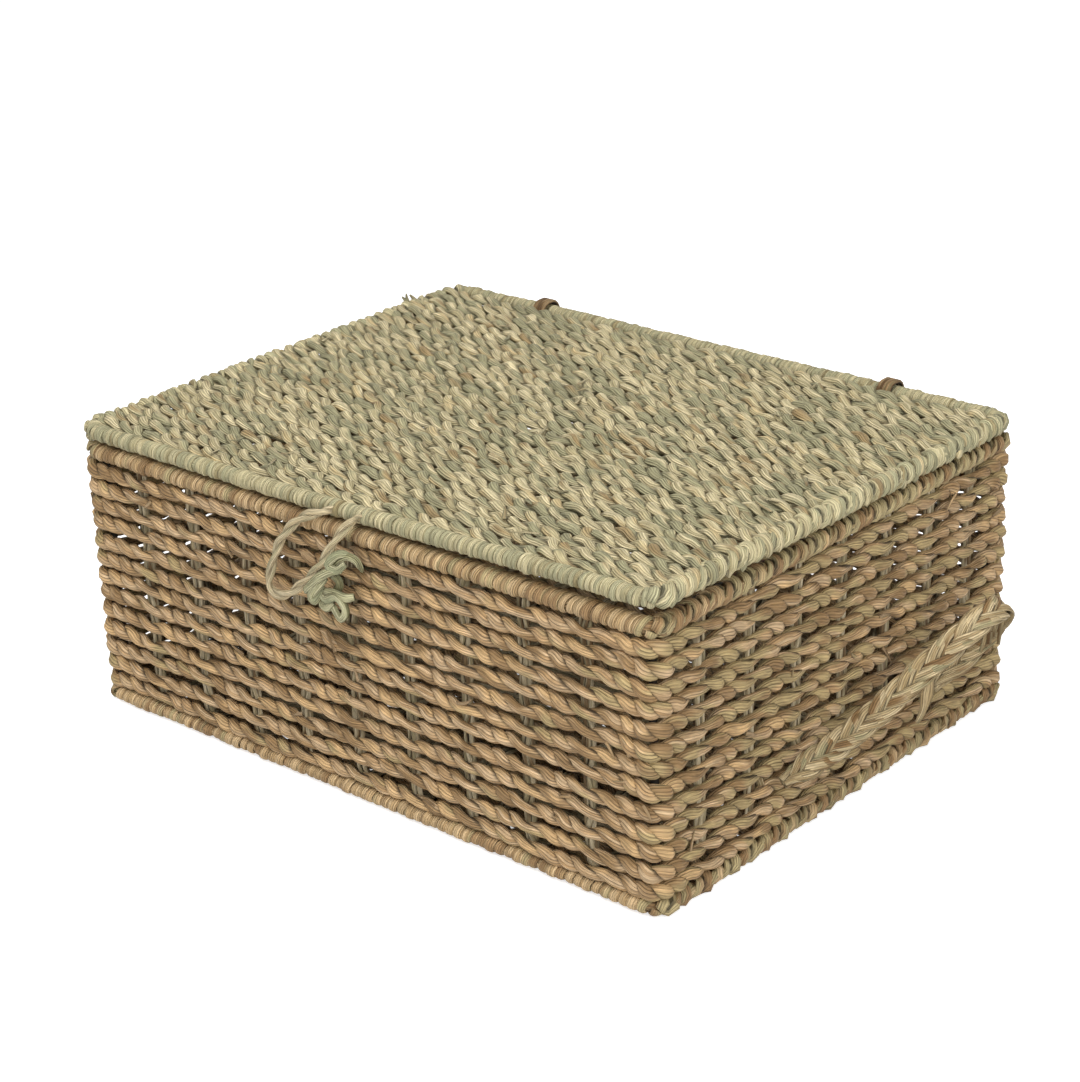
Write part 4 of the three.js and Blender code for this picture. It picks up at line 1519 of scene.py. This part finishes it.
@dataclass
class Fastening:
    """The loop on the lid, the toggle on the front wall and the two hinge lashings."""

    loom: Loom
    front: float = -0.155
    loop_route: tuple[Place, ...] = (
        (-0.0033, -0.0048, 0.1608), (-0.0076, 0.00205, 0.1608), (-0.0223, 0.0045, 0.1540),
        (-0.0368, 0.0050, 0.1388), (-0.0454, 0.0050, 0.1207), (-0.0471, 0.0055, 0.1127),
        (-0.0415, 0.0060, 0.1087), (-0.0308, 0.0065, 0.1124), (-0.0111, 0.0080, 0.1286),
        (-0.0003, 0.0090, 0.1411), (0.0059, 0.0070, 0.1515), (0.0140, 0.00205, 0.1618),
        (0.0153, -0.0048, 0.1608),
    )
    loop_diameter: float = 0.0035
    toggle_height: float = 0.13244
    toggle_bends: tuple[tuple[Place, ...], ...] = (
        ((5, -12, -3), (8, -14, -1), (10, -13, 3), (7, -12, 2), (8, -8, 0), (14.5, 0.5, 3.6),
         (15.6, 4, 8.7), (11.7, 6, 10.5), (7.7, 7.5, 8.5), (3.6, 8, 4.3)),
        ((12.8, 5, 10.6), (9.6, 7, 11.7), (6.2, 9, 10.3), (1.4, 9.5, 4.7), (7.1, 9.5, 3.3),
         (12.4, 8.5, 7.6)),
        ((9.4, 8.5, 3.6), (3.3, 10, 1.7), (-4.7, 10, -3.4), (-12.9, 9, -10.4), (-18.1, 8, -15.1)),
        ((-2.5, 8, -3.9), (-7.4, 9, -9.8), (-13.3, 8.5, -16.2), (-11.4, 8, -18.7),
         (-8.2, 7.5, -13.9), (-6.1, 7, -9.3)),
        ((-8.7, 7, -14.3), (-3.5, 8, -15.8), (4.2, 9, -11.7), (9.4, 9.5, -13.4),
         (11.1, 9, -18.6), (7, 8.5, -23.4), (3.7, 8, -21.4), (-0.4, 7, -17.9)),
        ((-5.3, 7, -12), (3.8, 8.5, -10.7), (11.8, 9, -10.5), (16.7, 8, -9.1)),
        ((0, 7, -1.1), (5.2, 7, -3.1), (4.8, 6, -7.6), (0.6, 6.5, -12.3)),
        ((1.3, 7.5, -16.3), (-2.7, 7.5, -20), (-7.1, 7, -20.5), (-8, 7, -17.7)),
    )
    toggle_facing: Place = (0.15, -1.0, 0.25)
    tie_x: float = 0.1231
    tie_turns: int = 5
    tie_width: float = 0.0085
    cord: Seagrass = Seagrass(
        "closure_cord", pale=(234, 216, 176), body=(208, 188, 146), dark=(170, 148, 110),
        green=(196, 184, 144), green_share=0.15, recess=0.35,
    )
    knot: Seagrass = Seagrass(
        "toggle_green", pale=(208, 202, 162), body=(172, 168, 126), dark=(124, 120, 84),
        green=(168, 168, 130), green_share=0.25, dark_share=0.15,
    )
    lashing: Seagrass = Seagrass(
        "hinge_lashing", pale=(182, 152, 110), body=(142, 112, 74), dark=(104, 78, 48),
        green=(140, 124, 86), dark_share=0.35, green_share=0.3,
    )

    def loop(self) -> None:
        """Lays the twisted loop that hangs from the lid's front edge."""
        stations = np.array([(x, self.front - out, z) for x, out, z in self.loop_route])
        points = smooth_curve(stations, 0.0016)
        length = float(np.sum(np.linalg.norm(np.diff(points, axis=0), axis=1)))
        run = np.linspace(0, length, len(points))
        phase = math.pi / 2 - 2 * math.pi * run / 0.034
        path = StrandPath(points, SOUTH, phase=phase, spread=0.0008, lift=0.0012, tone=0.1)
        lay = Lay(2, 0.0017, 0.0012, sides=10, lobes=3, lobe_depth=0.1, unevenness=0.2)
        piece = self.loom.weave("twisted_closure_loop", [path], lay, self.cord.material())
        fit(piece, Body.LOOP, "cord", "closure_loop")

    def toggle(self) -> None:
        """Twists and knots the green toggle."""
        material = self.knot.material()
        ribbon = Lay(1, 0.0027, 0.0013, sides=10, lobes=3, lobe_depth=0.1, unevenness=0.3)
        bends = [
            self._bend(np.array(route), 0.2 + 0.3 * index)
            for index, route in enumerate(self.toggle_bends)
        ]
        piece = self.loom.weave("knotted_toggle", bends, ribbon, material)
        fit(piece, Body.BASKET, "knot", "toggle_knot")

    def _bend(self, route: np.ndarray, tone: float) -> StrandPath:
        """One folded leaf of the toggle, from places in millimetres."""
        rows = route / 1000
        places = (rows[:, 0], self.front - rows[:, 1], self.toggle_height + rows[:, 2])
        points = smooth_curve(np.column_stack(places), 0.0012)
        way, facing = tangents(points), np.array(self.toggle_facing)
        out = facing - way * (way @ facing)[:, None]
        share = np.linspace(0, 1, len(points))
        return StrandPath(points, unit(out), tone=tone, swell=0.7 + 0.3 * np.sin(math.pi * share))

    def lashings(self) -> None:
        """Winds the two lashings that hold the lid's rear edge to the rim."""
        material = self.lashing.material()
        for word, x in (("left", -self.tie_x), ("right", self.tie_x)):
            node = f"hinge_tie_{word}"
            turn = np.linspace(0, self.tie_turns, self.tie_turns * 22 + 1)
            angle = 2 * math.pi * turn
            low, high = (np.array(corner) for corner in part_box(node))
            middle, half = (low + high) / 2, (high - low) / 2 - 0.0011
            bulge = np.abs(np.cos(angle)) ** 0.7 * np.sign(np.cos(angle))
            rise = np.abs(np.sin(angle)) ** 0.85 * np.sign(np.sin(angle))
            points = np.column_stack((
                x + (turn / self.tie_turns - 0.5) * self.tie_width,
                middle[1] + half[1] * bulge,
                middle[2] + half[2] * rise,
            ))
            facing = unit(np.column_stack((np.zeros_like(turn), np.cos(angle), np.sin(angle))))
            path = StrandPath(points, facing, tone=0.3 if word == "left" else 0.7)
            lay = Lay(1, 0.0013, 0.0010, sides=9, unevenness=0.2)
            piece = self.loom.weave(f"wound_{node}", [path], lay, material)
            fit(piece, Body.BASKET, "lashing", node)

    def build(self) -> None:
        """Makes the loop first, then the toggle and lashings."""
        self.loop()
        self.toggle()
        self.lashings()


@dataclass
class Studio:
    """The camera, the floor and the soft light."""

    height: int = 1082
    focal: float = 2592.7
    azimuth: float = math.radians(41.407)
    elevation: float = math.radians(23.005)
    roll: float = math.radians(-1.947)
    distance: float = 1.4057
    target: Place = (0.00006, -0.00449, 0.09474)
    sensor: float = 36.0

    def camera(self) -> None:
        """Sets the camera at the photograph's view."""
        sin_a, cos_a = math.sin(self.azimuth), math.cos(self.azimuth)
        sin_e, cos_e = math.sin(self.elevation), math.cos(self.elevation)
        back = Vector((sin_a * cos_e, -cos_a * cos_e, sin_e))
        level = Vector((cos_a, sin_a, 0.0))
        above = back.cross(level)
        right = level * math.cos(self.roll) + above * math.sin(self.roll)
        up = above * math.cos(self.roll) - level * math.sin(self.roll)
        data = bpy.data.cameras.new("view")
        data.sensor_fit = "VERTICAL"
        data.sensor_height = self.sensor
        data.lens = self.focal / self.height * self.sensor
        data.clip_start, data.clip_end = 0.05, 40.0
        camera = bpy.data.objects.new("view", data)
        place = Vector(self.target) + back * self.distance
        turn = Matrix((right, up, back)).transposed().to_4x4()
        camera.matrix_world = Matrix.Translation(place) @ turn
        bpy.context.scene.collection.objects.link(camera)
        bpy.context.scene.camera = camera

    def light(self) -> None:
        """Lights the box softly from above, from the front and from the right."""
        bpy.context.scene.view_settings.view_transform = "Standard"
        self._lamp("overhead", (0.1, -0.7, 2.2), (0, 0, 0.1), 1.8, 42.0)
        self._lamp("front", (0.4, -1.4, 1.1), (0, 0, 0.08), 1.2, 7.3)
        self._lamp("right", (2.1, -0.8, 1.3), (0, 0, 0.08), 1.2, 29.5)
        world = bpy.data.worlds.new("studio")
        bpy.context.scene.world = world
        world.use_nodes = True
        graph = NodeGraph(world.node_tree)
        sky = world.node_tree.nodes["Background"]
        graph.feed(sky.inputs["Strength"], self._seen(graph) * 0.78 + 0.22)
        sky.inputs["Color"].default_value = (1.0, 1.0, 1.0, 1.0)

    @staticmethod
    def _seen(graph: NodeGraph) -> Term:
        """One where a ray is the camera's own or a mirror's or glass's."""
        path = graph.node("ShaderNodeLightPath")
        rays = [graph.out(path, f"Is {kind} Ray") for kind in ("Camera", "Glossy", "Transmission")]
        return graph.math("MAXIMUM", graph.math("MAXIMUM", rays[0], rays[1]), rays[2])

    @staticmethod
    def _lamp(name: str, place: Place, aim: Place, size: float, power: float) -> None:
        """Hangs one square soft lamp that points at a place."""
        data = bpy.data.lights.new(name, "AREA")
        data.shape = "SQUARE"
        data.size = size
        data.energy = power
        lamp = bpy.data.objects.new(name, data)
        way = Vector(aim) - Vector(place)
        turn = way.to_track_quat("-Z", "Y").to_matrix().to_4x4()
        lamp.matrix_world = Matrix.Translation(place) @ turn
        bpy.context.scene.collection.objects.link(lamp)

    def floor(self) -> None:
        """Lays a pale floor that shows white and keeps a faint shadow."""
        mesh = bpy.data.meshes.new("floor")
        mesh.from_pydata([(-9, -9, 0), (9, -9, 0), (9, 9, 0), (-9, 9, 0)], [], [(0, 1, 2, 3)])
        material, graph, shader = new_material("floor_paper")
        shader.inputs["Base Color"].default_value = (0.82, 0.82, 0.82, 1.0)
        shader.inputs["Roughness"].default_value = 0.9
        glow = graph.term("ShaderNodeEmission", {"Strength": 0.66})
        paper = graph.term("ShaderNodeAddShader", {0: graph.out(shader), 1: glow})
        either = {0: self._seen(graph), 1: graph.out(shader), 2: paper}
        surface = material.node_tree.nodes["Material Output"].inputs["Surface"]
        graph.feed(surface, graph.term("ShaderNodeMixShader", either))
        mesh.materials.append(material)
        floor = bpy.data.objects.new("floor", mesh)
        floor.location.z = -0.0005
        bpy.context.scene.collection.objects.link(floor)
        floor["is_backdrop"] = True

    def build(self) -> None:
        """Sets the camera, light and floor."""
        self.camera()
        self.light()
        self.floor()


def finish_wire() -> None:
    """Dresses the body's CAD wire, which shows in the gaps of the weave."""
    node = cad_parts["wire_frame"]
    node.data.materials.clear()
    node.data.materials.append(Wire().material())
    LOG.info("wire_frame keeps its CAD shape")


def main() -> None:
    """Builds the studio and the box, and works out the two size boxes."""
    logging.basicConfig(level=logging.INFO, format="%(message)s")
    Studio().build()
    loom = Loom()
    for part in (Fastening(loom), Basket(loom), Lid(loom), Handles(loom)):
        part.build()
    finish_wire()
    boxes = {"cad": CAD_BOX, "visual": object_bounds()}
    {name: [[float(v) for v in corner] for corner in box] for name, box in boxes.items()}


if __name__ == "__main__":
    main()
